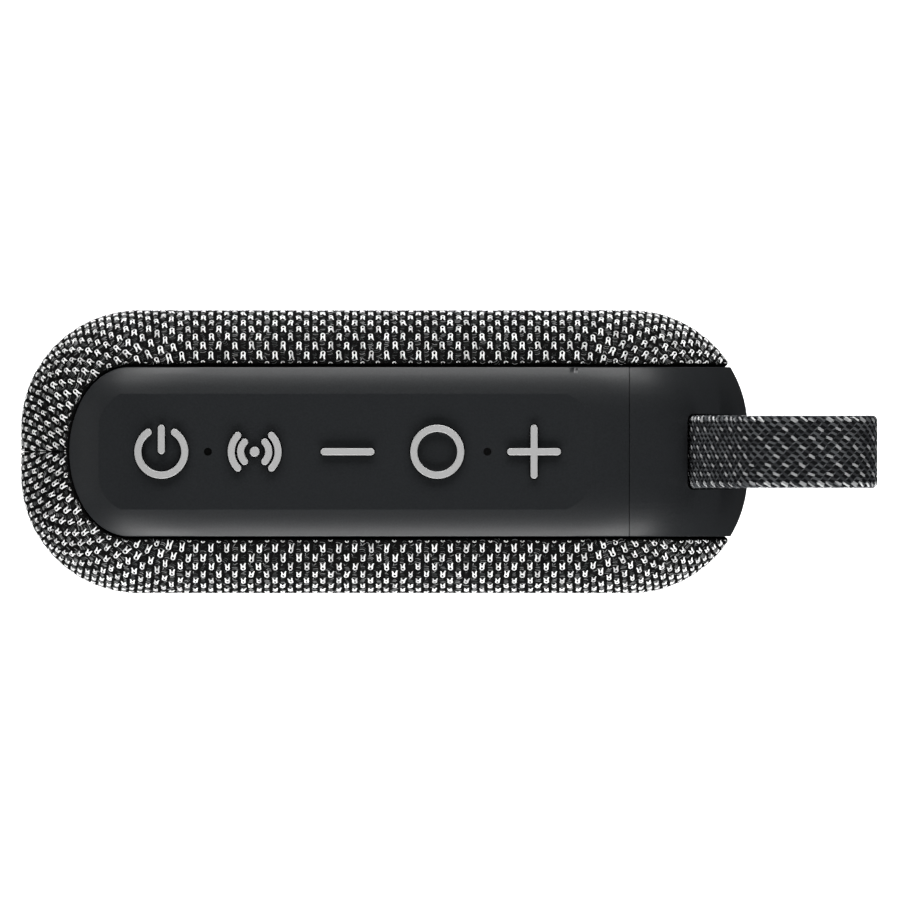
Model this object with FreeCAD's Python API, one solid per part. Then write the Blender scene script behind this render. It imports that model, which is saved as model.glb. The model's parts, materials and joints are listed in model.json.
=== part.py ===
"""Small waterproof shower speaker with knitted covers, a top control panel and a webbing carry loop.

Millimetres. +Z is up, +X runs along the panel towards the carry loop, -Y is the front (driver) side.
The origin is the centre of the flat underside of the foot pad.
"""
import FreeCAD
import Part
import math
import os

from FreeCAD import Vector

# ---- Driving dimensions -------------------------------------------------------------------------
# Body: a rounded-rectangle outline in XZ, extruded along Y, with both outer edges rounded over.
BODY_LENGTH = 105.5
BODY_DEPTH = 41.0
BODY_HEIGHT = 84.0
CORNER_RADIUS = 26.0
EDGE_RADIUS = 17.1
FOOT_HEIGHT = 0.7

# Shell layers, as depths below the outer surface.
FABRIC_DEPTH = 0.9
GRILLE_OUTER = 0.95
GRILLE_INNER = 1.95
HOUSING_OUTER = 2.05
HOUSING_INNER = 4.0
SKIN_DEPTH = 1.45
FRAME_OUTER = 1.5
FRAME_INNER = 2.0
CAP_DEPTH = 2.0

# Band: control panel on top, end cap round the upper right corner and down the right side.
BAND_HALF_WIDTH = 12.31
BAND_TIP_INSET = 6.9
BAND_TIP_LENGTH = 8.72
BAND_GAP = 0.38
PANEL_SEAM_X = 35.5
PANEL_SEAM_GAP = 0.1
BAND_RIM_RADIUS = 0.2

# Flat-topped field of the panel, with short ramps at its ends.
FIELD_DEPTH = 0.75
FIELD_LEFT = (-41.6, -38.4)
FIELD_RIGHT = (26.4, 30.2)

# Keys: raised symbols on pads that press down on switches.
SYMBOL_RISE = 0.6
SYMBOL_EDGE = 0.14
STROKE = 1.02
SYMBOL_RADIUS = 3.92
SYMBOL_GAP = 0.13
POWER_GAP_DEG = 34.0
PAIRING_ARC_DEG = 44.0
KEY_X = {
    "power": -32.47,
    "pairing": -18.9,
    "volume_down": -5.4,
    "play": 7.64,
    "volume_up": 21.71,
}
KEY_TRAVEL = 0.35
PAD_RADIUS = 4.7
PAD_OUTER = 1.65
PAD_INNER = 2.35
POCKET_RADIUS = 4.95
POCKET_DEPTH = 2.9
CUP_RADIUS = 5.6
CUP_DEPTH = 3.4
STEM_RADIUS = 1.2
STEM_HOLE_RADIUS = 1.35

# Panel electronics.
LIGHT_X = -25.7
MIC_X = 14.92
DOT_RADIUS = 0.58
BOARD_THICKNESS = 1.2
KEY_BOARD_DROP = 7.0
KEY_BOARD_ENDS = (-36.4, 27.5)
KEY_BOARD_HALF_WIDTH = 7.6
KEY_BOARD_POSTS = [(-12.15, -5.9), (-12.15, 5.9), (14.3, -5.9), (14.3, 5.9)]
KEY_POST_RADIUS = 1.6
SWITCH_SIDE = 4.5
SWITCH_HEIGHT = 1.0
BUTTON_RADIUS = 1.0

# Carry loop: webbing round a steel bar in a pocket of the end cap, set at an angle across the corner.
LOOP_ANGLE = 38.0
WEBBING_WIDTH = 10.6
WEBBING_THICKNESS = 1.6
BAR_RADIUS = 0.95
BAR_HALF_LENGTH = 8.0
LOOP_POINTS = [(19.46, 0.0), (29.5, 6.77), (43.17, 12.29), (58.9, 0.0), (43.17, -12.29), (29.5, -6.77)]
LOOP_RADII = [2.65, 50.0, 8.0, 5.5, 8.0, 50.0]
BAR_T = 24.2
POCKET_FLOOR_T = 20.8
POCKET_W = (-7.4, 4.7)
POCKET_HALF_WIDTH = 5.5
WELL_WALL = 1.5
POCKET_CORNER = 1.2
POCKET_OUTER_T = CORNER_RADIUS + 4

# Charging port with a hinged rubber cover on the right side.
PORT_Z = 38.0
COVER_HALF_WIDTH = 5.0
COVER_TOP_Z = 47.2
COVER_HINGE_Z = 29.6
COVER_THICKNESS = 1.5
COVER_BARREL_RADIUS = 1.1
COVER_AXIS_DEPTH = 1.3
COVER_PIN_RADIUS = 0.5
COVER_PIN_REACH = 6.4
COVER_GAP = 0.25
KNUCKLE_GAP = 0.15
KNUCKLE_ROOM = (1.75, 2.0)
CAP_FLOOR_DEPTHS = (1.5, 3.2)
CAP_FLOOR_HALF_WIDTH = 8.0
CAP_FLOOR_REACH = (4.0, 2.5)
CAP_FLOOR_GAP = 0.2
PORT_BOSS = (7.5, 4.6, 8.0)
PORT_WELL = (5.9, 2.9)
PLUG_SIZE = (4.9, 2.4)
PLUG_LENGTH = 1.6
PORT_MOUTH_DEPTH = 4.4
PORT_LENGTH = 7.3
PORT_HEIGHT = 3.26
PORT_WIDTH = 8.94
PORT_WALL = 0.3
PORT_TONGUE = (3.3, 0.35, 5.6)

# Housing split, screws and screw posts.
SPLIT_Y = 13.0
SEAL_INSETS = (6.4, 7.2)
SEAL_HALF_HEIGHT = 0.4
POST_INSET = 11.0
POST_RADIUS = 2.5
SCREW_RADIUS = 0.95
SCREW_HEAD_RADIUS = 1.8
SCREW_HEAD_HEIGHT = 1.3
SCREW_LENGTH = 10.0
SCREW_SEAT_Y = SPLIT_Y + 1.8

# Loudspeaker driver on the front, passive radiator on the rear, sharing one axis along Y.
DRIVER_X = -14.0
DRIVER_Z = 42.0
DRIVER_RADIUS = 22.5
DRIVER_OPENING = 19.2
SEAT_Y = 15.4
GASKET_THICKNESS = 0.6
FLANGE_THICKNESS = 1.2
CONE_RADIUS = 15.2
ROLL_RADIUS = 1.9
ROLL_CENTRE = 17.0
ROLL_THICKNESS = 0.5
COIL_RADIUS = 6.2
COIL_OUTER = 6.85
POLE_RADIUS = 5.85
GAP_RADIUS = 7.2
MAGNET_RADIUS = 14.0
MAGNET_HOLE = 8.6
PLATE_Y = (-3.6, -1.0)
MAGNET_END_Y = 3.6
YOKE_END_Y = 6.0
SPEAKER_SCREW_CIRCLE = 20.9
SMALL_SCREW_RADIUS = 0.7
SMALL_HEAD_RADIUS = 1.3
SMALL_HEAD_HEIGHT = 0.8
RADIATOR_WEIGHT_RADIUS = 8.0

# Main board and battery, right of the driver.
MAIN_BOARD_X = (14.5, 45.0)
MAIN_BOARD_Z = (19.5, 63.0)
MAIN_BOARD_Y = -1.63
BOARD_POSTS = [(17.6, 22.8), (17.6, 59.6), (41.6, 24.4), (41.6, 58.8)]
BOARD_POST_RADIUS = 2.0
RADIO_PLACE = (31.5, 49.5)
RIBBON_WIDTH = 6.0
RIBBON_THICKNESS = 0.2
RIBBON_X = 30.0
SOCKET_HEIGHT = 2.5
BATTERY_X = (14.0, 38.0)
BATTERY_Y = (3.0, 12.4)
BATTERY_Z = (18.6, 62.6)
BATTERY_EDGE = 2.0

# Grille perforations.
HOLE_RADIUS = 1.1
HOLE_PITCH = 3.4
PERFORATED_RADIUS = 19.0

# Foot pad.
FOOT_LENGTH = 62.0
FOOT_WIDTH = 15.0

# ---- Values that follow -------------------------------------------------------------------------
TOP = FOOT_HEIGHT + BODY_HEIGHT
HALF_LENGTH = BODY_LENGTH / 2
HALF_DEPTH = BODY_DEPTH / 2
ARC_X = HALF_LENGTH - CORNER_RADIUS
ARC_TOP_Z = TOP - CORNER_RADIUS
ARC_BOTTOM_Z = FOOT_HEIGHT + CORNER_RADIUS
FAR = 100.0
STROKE_TOP = TOP + 5
EDGE_TOLERANCE = 0.0005
KEY_BOARD_TOP = TOP - KEY_BOARD_DROP
SWITCH_TOP = KEY_BOARD_TOP + SWITCH_HEIGHT + 0.6
STEM_BOTTOM = SWITCH_TOP + KEY_TRAVEL + 0.05
ALONG_Y = Vector(0, 1, 0)
ALONG_Z = Vector(0, 0, 1)
DRIVER_AXIS = Vector(DRIVER_X, 0, DRIVER_Z)


# ---- Shape helpers ------------------------------------------------------------------------------
def box(x0, x1, y0, y1, z0, z1):
    return Part.makeBox(x1 - x0, y1 - y0, z1 - z0, Vector(x0, y0, z0))


def cylinder_y(x, z, radius, y0, y1):
    return Part.makeCylinder(radius, y1 - y0, Vector(x, y0, z), ALONG_Y)


def cylinder_z(x, y, radius, z0, z1):
    return Part.makeCylinder(radius, z1 - z0, Vector(x, y, z0), ALONG_Z)


def tube_y(x, z, outer, inner, y0, y1):
    return cylinder_y(x, z, outer, y0, y1).cut(cylinder_y(x, z, inner, y0 - 1, y1 + 1))


def fuse_all(shapes):
    result = shapes[0]
    for shape in shapes[1:]:
        result = result.fuse(shape)
    return result


def turned(points):
    """A solid of revolution about the driver's axis, from (radius, y) points."""
    corners = [Vector(DRIVER_X + r, y, DRIVER_Z) for r, y in points]
    profile = Part.Face(Part.makePolygon(corners + corners[:1]))
    return profile.revolve(DRIVER_AXIS, ALONG_Y, 360)


def edges_along(solid, direction):
    """The straight edges of a solid that run along a direction."""
    found = []
    for edge in solid.Edges:
        if len(edge.Vertexes) == 2 and isinstance(edge.Curve, Part.Line):
            run = edge.Vertexes[1].Point.sub(edge.Vertexes[0].Point)
            if run.cross(direction).Length < EDGE_TOLERANCE:
                found.append(edge)
    return found


def outline_prism(inset, y0=-FAR, y1=FAR):
    """The front outline, moved inward by inset, as a prism along Y."""
    block = box(inset - HALF_LENGTH, HALF_LENGTH - inset, y0, y1, FOOT_HEIGHT + inset, TOP - inset)
    return block.makeFillet(CORNER_RADIUS - inset, edges_along(block, ALONG_Y))


def pillow(inset):
    """The body's outer form, moved inward by inset on every side."""
    half = HALF_DEPTH - inset
    block = outline_prism(inset, -half, half)
    rims = []
    for edge in block.Edges:
        if all(abs(abs(vertex.Point.y) - half) < EDGE_TOLERANCE for vertex in edge.Vertexes):
            if abs(edge.Vertexes[0].Point.y - edge.Vertexes[-1].Point.y) < EDGE_TOLERANCE:
                rims.append(edge)
    return block.makeFillet(EDGE_RADIUS - inset, rims).Solids[0]


def shell(outer, inner):
    return pillow(outer).cut(pillow(inner))


def outline_layer(shape, outer, inner):
    """What of a shape lies between two insets of the outline."""
    return shape.common(outline_prism(outer)).cut(outline_prism(inner))


def surface_z(inset, x):
    """Height of the outline's top, moved inward by inset, at x."""
    past_arc = max(abs(x) - ARC_X, 0)
    return ARC_TOP_Z + math.sqrt((CORNER_RADIUS - inset) ** 2 - past_arc ** 2)


def band_region(grow):
    """The space over the band, wider by grow than the band itself."""
    half = BAND_HALF_WIDTH + grow
    end = BAND_TIP_LENGTH + grow
    left = BAND_TIP_LENGTH + BAND_TIP_INSET - HALF_LENGTH
    bottom = FOOT_HEIGHT + BAND_TIP_INSET + BAND_TIP_LENGTH
    ellipse = Part.Ellipse(Vector(0, half, 0), Vector(end, 0, 0), Vector(0, 0, 0)).toShape()
    tip = Part.Face(Part.Wire(ellipse)).extrude(Vector(0, 0, FAR))
    top_tip = tip.copy()
    top_tip.translate(Vector(left, 0, ARC_TOP_Z + CORNER_RADIUS / 4))
    side_tip = tip.copy()
    side_tip.rotate(Vector(0, 0, 0), ALONG_Y, 90)
    side_tip.translate(Vector(ARC_X, 0, bottom))
    top = box(left, FAR, -half, half, ARC_TOP_Z + CORNER_RADIUS / 4, FAR + TOP)
    side = box(ARC_X, FAR, -half, half, bottom, TOP)
    return fuse_all([top, top_tip, side, side_tip])


def rounded_path(points, radii, closed):
    """Straight runs joined by tangent arcs, one radius for each point."""
    count = len(points)
    edges = []
    previous_end = None
    first_start = None
    for index in range(count):
        corner = points[index]
        if not closed and index in (0, count - 1):
            start = end = corner
            arc = None
        else:
            back = points[index - 1].sub(corner).normalize()
            ahead = points[(index + 1) % count].sub(corner).normalize()
            half_angle = back.getAngle(ahead) / 2
            reach = radii[index] / math.tan(half_angle)
            start = corner.add(back * reach)
            end = corner.add(ahead * reach)
            inward = back.add(ahead).normalize()
            crown = corner.add(inward * (radii[index] / math.sin(half_angle) - radii[index]))
            arc = Part.Arc(start, crown, end).toShape()
        if previous_end is not None:
            edges.append(Part.makeLine(previous_end, start))
        if arc is not None:
            edges.append(arc)
        if first_start is None:
            first_start = start
        previous_end = end
    if closed:
        edges.append(Part.makeLine(previous_end, first_start))
    return Part.Wire(edges)


def round_tube(points, bend_radius, radius):
    """A round wire along straight runs and arcs."""
    path = rounded_path(points, [bend_radius] * len(points), False)
    start = points[0]
    direction = points[1].sub(start)
    ring = Part.Wire(Part.Circle(start, direction, radius).toShape())
    return Part.Wire(path).makePipeShell([ring], True, False)


def small_screw_z(x, y, seat_z, length):
    """A small screw along Z with its head under the seat and its shank pointing up."""
    head = cylinder_z(x, y, SMALL_HEAD_RADIUS, seat_z - SMALL_HEAD_HEIGHT, seat_z)
    shank = cylinder_z(x, y, SMALL_SCREW_RADIUS, seat_z - 0.1, seat_z + length)
    return head.fuse(shank).removeSplitter()


def small_screw_y(x, z, seat_y, side, length):
    """A small screw along Y: head on the inner face of the seat, shank towards side."""
    if side < 0:
        head = cylinder_y(x, z, SMALL_HEAD_RADIUS, seat_y, seat_y + SMALL_HEAD_HEIGHT)
        shank = cylinder_y(x, z, SMALL_SCREW_RADIUS, seat_y - length, seat_y + 0.1)
    else:
        head = cylinder_y(x, z, SMALL_HEAD_RADIUS, seat_y - SMALL_HEAD_HEIGHT, seat_y)
        shank = cylinder_y(x, z, SMALL_SCREW_RADIUS, seat_y - 0.1, seat_y + length)
    return head.fuse(shank).removeSplitter()


def around_driver(radius, count, start_deg):
    """Points (x, z) evenly round the driver's axis."""
    places = []
    for index in range(count):
        angle = math.radians(start_deg + index * 360 / count)
        places.append((DRIVER_X + radius * math.cos(angle), DRIVER_Z + radius * math.sin(angle)))
    return places


# ---- Covers -------------------------------------------------------------------------------------
def foot_prism(grow):
    length = FOOT_LENGTH + 2 * grow
    width = FOOT_WIDTH + 2 * grow
    block = box(-length / 2, length / 2, -width / 2, width / 2, 0, ARC_BOTTOM_Z / 2)
    return block.makeFillet(width / 2 - 0.01, edges_along(block, ALONG_Z))


def cover_layer(outer, inner, front):
    """One half of a cover layer, cut away over the band."""
    y0 = -FAR if front else 0
    half_space = box(-FAR, FAR, y0, y0 + FAR, -FAR, FAR * 2)
    return shell(outer, inner).common(half_space).cut(band_region(BAND_GAP))


def fabric(front):
    return cover_layer(0, FABRIC_DEPTH, front).cut(foot_prism(0.1))


def grille(front):
    sheet = cover_layer(GRILLE_OUTER, GRILLE_INNER, front)
    y0 = -FAR if front else 0
    holes = []
    row_pitch = HOLE_PITCH * math.sqrt(3) / 2
    rows = int(PERFORATED_RADIUS / row_pitch) + 1
    columns = int(PERFORATED_RADIUS / HOLE_PITCH) + 1
    for row in range(-rows, rows + 1):
        for column in range(-columns, columns + 1):
            x = (column + 0.5 * (row % 2)) * HOLE_PITCH
            z = row * row_pitch
            if math.hypot(x, z) < PERFORATED_RADIUS:
                holes.append(cylinder_y(DRIVER_X + x, DRIVER_Z + z, HOLE_RADIUS, y0, y0 + FAR))
    return sheet.cut(Part.makeCompound(holes))


def foot_pad():
    return foot_prism(0).cut(pillow(FABRIC_DEPTH))


# ---- Control panel ------------------------------------------------------------------------------
def panel_space():
    """The band over the panel, left of the seam to the end cap."""
    return band_region(0).common(box(-FAR, PANEL_SEAM_X, -FAR, FAR, 0, FAR * 2))


def field_cut():
    """What is taken off the panel to leave its flat-topped field, with a ramp at each end."""
    left_foot = Vector(FIELD_LEFT[1], -FAR, surface_z(FIELD_DEPTH, FIELD_LEFT[1]))
    left_rim = Vector(FIELD_LEFT[0], -FAR, surface_z(0, FIELD_LEFT[0]))
    right_foot = Vector(FIELD_RIGHT[0], -FAR, surface_z(FIELD_DEPTH, FIELD_RIGHT[0]))
    right_rim = Vector(FIELD_RIGHT[1], -FAR, surface_z(0, FIELD_RIGHT[1]))
    left_far = left_foot.add(left_rim.sub(left_foot) * 2)
    right_far = right_foot.add(right_rim.sub(right_foot) * 2)
    left_top = Vector(left_far.x, -FAR, TOP + CORNER_RADIUS)
    right_top = Vector(right_far.x, -FAR, TOP + CORNER_RADIUS)
    corners = [left_foot, left_far, left_top, right_top, right_far, right_foot, left_foot]
    wedge = Part.Face(Part.makePolygon(corners)).extrude(Vector(0, 2 * FAR, 0))
    return wedge.cut(outline_prism(FIELD_DEPTH))


def bar_stroke(x0, y0, x1, y1, width):
    """A straight stroke with round ends, as a tall prism."""
    length = math.hypot(x1 - x0, y1 - y0)
    run = box(0, length, -width / 2, width / 2, ARC_TOP_Z, STROKE_TOP)
    ends = [cylinder_z(x, 0, width / 2, ARC_TOP_Z, STROKE_TOP) for x in (0, length)]
    stroke = fuse_all([run] + ends).removeSplitter()
    stroke.rotate(Vector(0, 0, 0), ALONG_Z, math.degrees(math.atan2(y1 - y0, x1 - x0)))
    stroke.translate(Vector(x0, y0, 0))
    return stroke


def arc_stroke(x, radius, start_deg, end_deg, width):
    """A curved stroke with round ends, as a tall prism."""
    corners = [
        Vector(radius - width / 2, 0, ARC_TOP_Z),
        Vector(radius + width / 2, 0, ARC_TOP_Z),
        Vector(radius + width / 2, 0, STROKE_TOP),
        Vector(radius - width / 2, 0, STROKE_TOP),
    ]
    section = Part.Face(Part.makePolygon(corners + corners[:1]))
    sweep = section.revolve(Vector(0, 0, 0), ALONG_Z, end_deg - start_deg)
    first = cylinder_z(radius, 0, width / 2, ARC_TOP_Z, STROKE_TOP)
    last = first.copy()
    last.rotate(Vector(0, 0, 0), ALONG_Z, end_deg - start_deg)
    stroke = fuse_all([sweep, first, last]).removeSplitter()
    stroke.rotate(Vector(0, 0, 0), ALONG_Z, start_deg)
    stroke.translate(Vector(x, 0, 0))
    return stroke


def symbol_strokes(key, grow):
    """The strokes of a key's symbol, each wider by grow on every side."""
    x = KEY_X[key]
    width = STROKE + 2 * grow
    ring = SYMBOL_RADIUS - STROKE / 2
    if key == "power":
        arc = arc_stroke(x, ring, 90 + POWER_GAP_DEG, 450 - POWER_GAP_DEG, width)
        return [arc, bar_stroke(x, STROKE / 6, x, ring, width)]
    if key == "pairing":
        strokes = [cylinder_z(x, 0, STROKE * 0.7 + grow, ARC_TOP_Z, STROKE_TOP)]
        for middle in (0, 180):
            for radius in (ring * 0.6, ring):
                first = middle - PAIRING_ARC_DEG
                strokes.append(arc_stroke(x, radius, first, first + 2 * PAIRING_ARC_DEG, width))
        return strokes
    level = bar_stroke(x - ring, 0, x + ring, 0, width)
    if key == "volume_down":
        return [level]
    if key == "volume_up":
        return [level.fuse(bar_stroke(x, -ring, x, ring, width)).removeSplitter()]
    disc = cylinder_z(x, 0, SYMBOL_RADIUS + grow, ARC_TOP_Z, STROKE_TOP)
    if grow > 0:
        return [disc]
    return [disc.cut(cylinder_z(x, 0, SYMBOL_RADIUS - STROKE, 0, FAR * 2))]


def symbol(key):
    """The raised light symbol of a key, with softened upper edges."""
    solids = []
    top_inset = FIELD_DEPTH - SYMBOL_RISE
    for stroke in symbol_strokes(key, 0):
        solid = outline_layer(stroke, top_inset, PAD_OUTER)
        rim = [edge for edge in solid.Edges if edge_on_surface(edge, top_inset)]
        solids.append(solid.makeFillet(SYMBOL_EDGE, rim))
    return Part.makeCompound(solids)


def edge_on_surface(edge, inset):
    """Whether an edge lies all along on the outline's top at an inset."""
    low, high = edge.ParameterRange
    for share in (0.0, 0.37, 0.5, 0.81, 1.0):
        point = edge.valueAt(low + (high - low) * share)
        if abs(point.z - surface_z(inset, point.x)) > EDGE_TOLERANCE:
            return False
    return True


def pad(key):
    """The dark pad under a symbol, with the stem that reaches for its switch."""
    x = KEY_X[key]
    disc = outline_layer(cylinder_z(x, 0, PAD_RADIUS, ARC_TOP_Z, TOP), PAD_OUTER, PAD_INNER)
    stem = cylinder_z(x, 0, STEM_RADIUS, STEM_BOTTOM, TOP - PAD_OUTER - 0.2)
    stem = stem.common(outline_prism(PAD_OUTER + 0.1))
    pieces = [disc, stem]
    if key == "play":
        island = cylinder_z(x, 0, SYMBOL_RADIUS - STROKE, ARC_TOP_Z, TOP)
        pieces.append(outline_layer(island, FIELD_DEPTH, PAD_INNER))
    return fuse_all(pieces).removeSplitter()


def soften_rim(solid):
    """Rounds the edges where a solid's side walls meet the body's outer surface, but not at the seam."""
    surface = pillow(0).Shells[0]
    rims = []
    for edge in solid.Edges:
        point = edge.valueAt((edge.FirstParameter + edge.LastParameter) / 2)
        at_seam = PANEL_SEAM_X - EDGE_TOLERANCE < point.x < PANEL_SEAM_X + PANEL_SEAM_GAP + EDGE_TOLERANCE
        if at_seam or Part.Vertex(point).distToShape(surface)[0] > EDGE_TOLERANCE:
            continue
        for face in solid.ancestorsOfType(edge, Part.Face):
            place = face.Surface.parameter(point)
            step = point.add(face.normalAt(*place) * BAND_RIM_RADIUS)
            if Part.Vertex(step).distToShape(surface)[0] < 0.9 * BAND_RIM_RADIUS:
                rims.append(edge)
    return solid.makeFillet(BAND_RIM_RADIUS, rims)


def panel_skin():
    """The soft outer skin of the control panel, with an opening for each symbol."""
    skin = soften_rim(shell(0, SKIN_DEPTH).common(panel_space())).cut(field_cut())
    for key in KEY_X:
        for stroke in symbol_strokes(key, SYMBOL_GAP):
            skin = skin.cut(stroke)
    for x in (LIGHT_X, MIC_X):
        skin = skin.cut(cylinder_z(x, 0, DOT_RADIUS, ARC_TOP_Z, TOP + 1))
    return max(skin.Solids, key=lambda solid: solid.Volume)


def panel_frame():
    """The stiff carrier under the skin: cups that guide the pads, and posts for the key board."""
    frame = shell(FRAME_OUTER, FRAME_INNER).common(panel_space())
    for x in KEY_X.values():
        cup = outline_layer(cylinder_z(x, 0, CUP_RADIUS, ARC_TOP_Z, TOP), FRAME_OUTER, CUP_DEPTH)
        frame = frame.fuse(cup.common(pillow(FRAME_OUTER)))
    for x, y in KEY_BOARD_POSTS:
        post = cylinder_z(x, y, KEY_POST_RADIUS, KEY_BOARD_TOP, TOP).common(pillow(FRAME_OUTER))
        frame = frame.fuse(post)
    for x in KEY_X.values():
        pocket = outline_layer(cylinder_z(x, 0, POCKET_RADIUS, ARC_TOP_Z, TOP), 0, POCKET_DEPTH)
        frame = frame.cut(pocket)
        frame = frame.cut(cylinder_z(x, 0, STEM_HOLE_RADIUS, ARC_TOP_Z, TOP))
    for x, y in KEY_BOARD_POSTS:
        frame = frame.cut(cylinder_z(x, y, SMALL_SCREW_RADIUS, KEY_BOARD_TOP - 1, KEY_BOARD_TOP + 4))
    frame = frame.cut(cylinder_z(LIGHT_X, 0, DOT_RADIUS, ARC_TOP_Z, TOP))
    frame = frame.cut(cylinder_z(MIC_X, 0, 2 * DOT_RADIUS + 0.3, ARC_TOP_Z, TOP))
    return max(frame.removeSplitter().Solids, key=lambda solid: solid.Volume)


def key_board():
    low = KEY_BOARD_TOP - BOARD_THICKNESS
    half = KEY_BOARD_HALF_WIDTH
    board = box(KEY_BOARD_ENDS[0], KEY_BOARD_ENDS[1], -half, half, low, KEY_BOARD_TOP)
    board = board.makeFillet(2.0, edges_along(board, ALONG_Z))
    for x, y in KEY_BOARD_POSTS:
        board = board.cut(cylinder_z(x, y, SMALL_SCREW_RADIUS, low - 1, KEY_BOARD_TOP + 1))
    return board


def tact_switches():
    switches = []
    half = SWITCH_SIDE / 2
    for x in KEY_X.values():
        base = box(x - half, x + half, -half, half, KEY_BOARD_TOP, KEY_BOARD_TOP + SWITCH_HEIGHT)
        button = cylinder_z(x, 0, BUTTON_RADIUS, KEY_BOARD_TOP, SWITCH_TOP)
        switches.append(base.fuse(button).removeSplitter())
    return Part.makeCompound(switches)


def status_led():
    return box(LIGHT_X - 0.8, LIGHT_X + 0.8, -0.4, 0.4, KEY_BOARD_TOP, KEY_BOARD_TOP + 0.6)


def light_pipe():
    return cylinder_z(LIGHT_X, 0, DOT_RADIUS - 0.02, KEY_BOARD_TOP + 0.6, TOP - FIELD_DEPTH - 0.15)


def microphone():
    return box(MIC_X - 1.75, MIC_X + 1.75, -1.3, 1.3, KEY_BOARD_TOP, KEY_BOARD_TOP + 1.0)


def microphone_boot():
    """A soft tube from the microphone up to the hole in the skin."""
    boot = cylinder_z(MIC_X, 0, 2 * DOT_RADIUS + 0.25, KEY_BOARD_TOP + 1.0, TOP - SKIN_DEPTH)
    return boot.cut(cylinder_z(MIC_X, 0, DOT_RADIUS, KEY_BOARD_TOP, TOP))


def flex_cable():
    """The flat ribbon from under the key board down to its socket on the main board."""
    level = KEY_BOARD_TOP - BOARD_THICKNESS - RIBBON_THICKNESS / 2
    start = Vector(RIBBON_X - 10.0, -RIBBON_WIDTH / 2, level)
    turn = Vector(RIBBON_X, start.y, start.z)
    end = Vector(RIBBON_X, start.y, MAIN_BOARD_Z[1] + 1.0)
    path = rounded_path([start, turn, end], [0, 2.5, 0], False)
    corners = []
    for across, up in ((0, -1), (0, 1), (1, 1), (1, -1), (0, -1)):
        corners.append(start.add(Vector(0, across * RIBBON_WIDTH, up * RIBBON_THICKNESS / 2)))
    return path.makePipeShell([Part.makePolygon(corners)], True, False)


def ribbon_socket():
    """The socket on the main board's top edge that takes the ribbon."""
    half = RIBBON_WIDTH / 2
    z = MAIN_BOARD_Z[1]
    body = box(RIBBON_X - 1.5, RIBBON_X + 1.5, -half - 0.6, half + 0.6, z, z + SOCKET_HEIGHT)
    slot = RIBBON_THICKNESS / 2 + 0.02
    return body.cut(box(RIBBON_X - slot, RIBBON_X + slot, -half - 0.02, half + 0.02, z + 1.0, z + 3.0))


# ---- End cap and carry loop ---------------------------------------------------------------------
def corner_point(t, w, y=0.0):
    """A point t outward from the corner's arc centre along the loop's middle line, and w across it."""
    lean = math.radians(LOOP_ANGLE)
    x = ARC_X + t * math.cos(lean) - w * math.sin(lean)
    z = ARC_TOP_Z + t * math.sin(lean) + w * math.cos(lean)
    return Vector(x, y, z)


def corner_block(t0, t1, w0, w1, half_width):
    """A block set square to the loop's middle line."""
    block = box(t0, t1, -half_width, half_width, w0, w1)
    block.rotate(Vector(0, 0, 0), ALONG_Y, -LOOP_ANGLE)
    block.translate(Vector(ARC_X, 0, ARC_TOP_Z))
    return block


def loop_pocket():
    """The pocket that the carry loop goes into."""
    pocket = corner_block(POCKET_FLOOR_T, POCKET_OUTER_T, POCKET_W[0], POCKET_W[1], POCKET_HALF_WIDTH)
    along = Vector(math.cos(math.radians(LOOP_ANGLE)), 0, math.sin(math.radians(LOOP_ANGLE)))
    return pocket.makeFillet(POCKET_CORNER, edges_along(pocket, along))


def loop_well(grow):
    """The block of the end cap round the pocket, wider by grow."""
    wall = WELL_WALL + grow
    half = BAR_HALF_LENGTH + 1.0 + grow
    return corner_block(POCKET_FLOOR_T - wall, POCKET_OUTER_T, POCKET_W[0] - wall, POCKET_W[1] + wall, half)


def cover_axis():
    """Middle of the port cover's hinge pin."""
    return Vector(HALF_LENGTH - COVER_AXIS_DEPTH, 0, COVER_HINGE_Z)


def cover_plate(grow):
    """The port cover's outline, wider by grow, right through the end cap."""
    half = COVER_HALF_WIDTH + grow
    plate = box(HALF_LENGTH - COVER_THICKNESS, FAR, -half, half, COVER_HINGE_Z, COVER_TOP_Z + grow)
    rims = [edge for edge in edges_along(plate, Vector(1, 0, 0)) if edge.CenterOfMass.z > PORT_Z]
    return plate.makeFillet(half - 1.5, rims)


def port_well():
    """The opening through the end cap and the housing to the charging socket."""
    half_z = PORT_WELL[0]
    half_y = PORT_WELL[1]
    well = box(HALF_LENGTH - 8.0, FAR, -half_y, half_y, PORT_Z - half_z, PORT_Z + half_z)
    return well.makeFillet(half_y - 0.4, edges_along(well, Vector(1, 0, 0)))


def cap_floor_block(grow):
    """The space of the thicker floor behind the port cover, larger by grow."""
    half = CAP_FLOOR_HALF_WIDTH + grow
    low = COVER_HINGE_Z - CAP_FLOOR_REACH[0] - grow
    return box(ARC_X, FAR, -half, half, low, COVER_TOP_Z + CAP_FLOOR_REACH[1] + grow)


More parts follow.
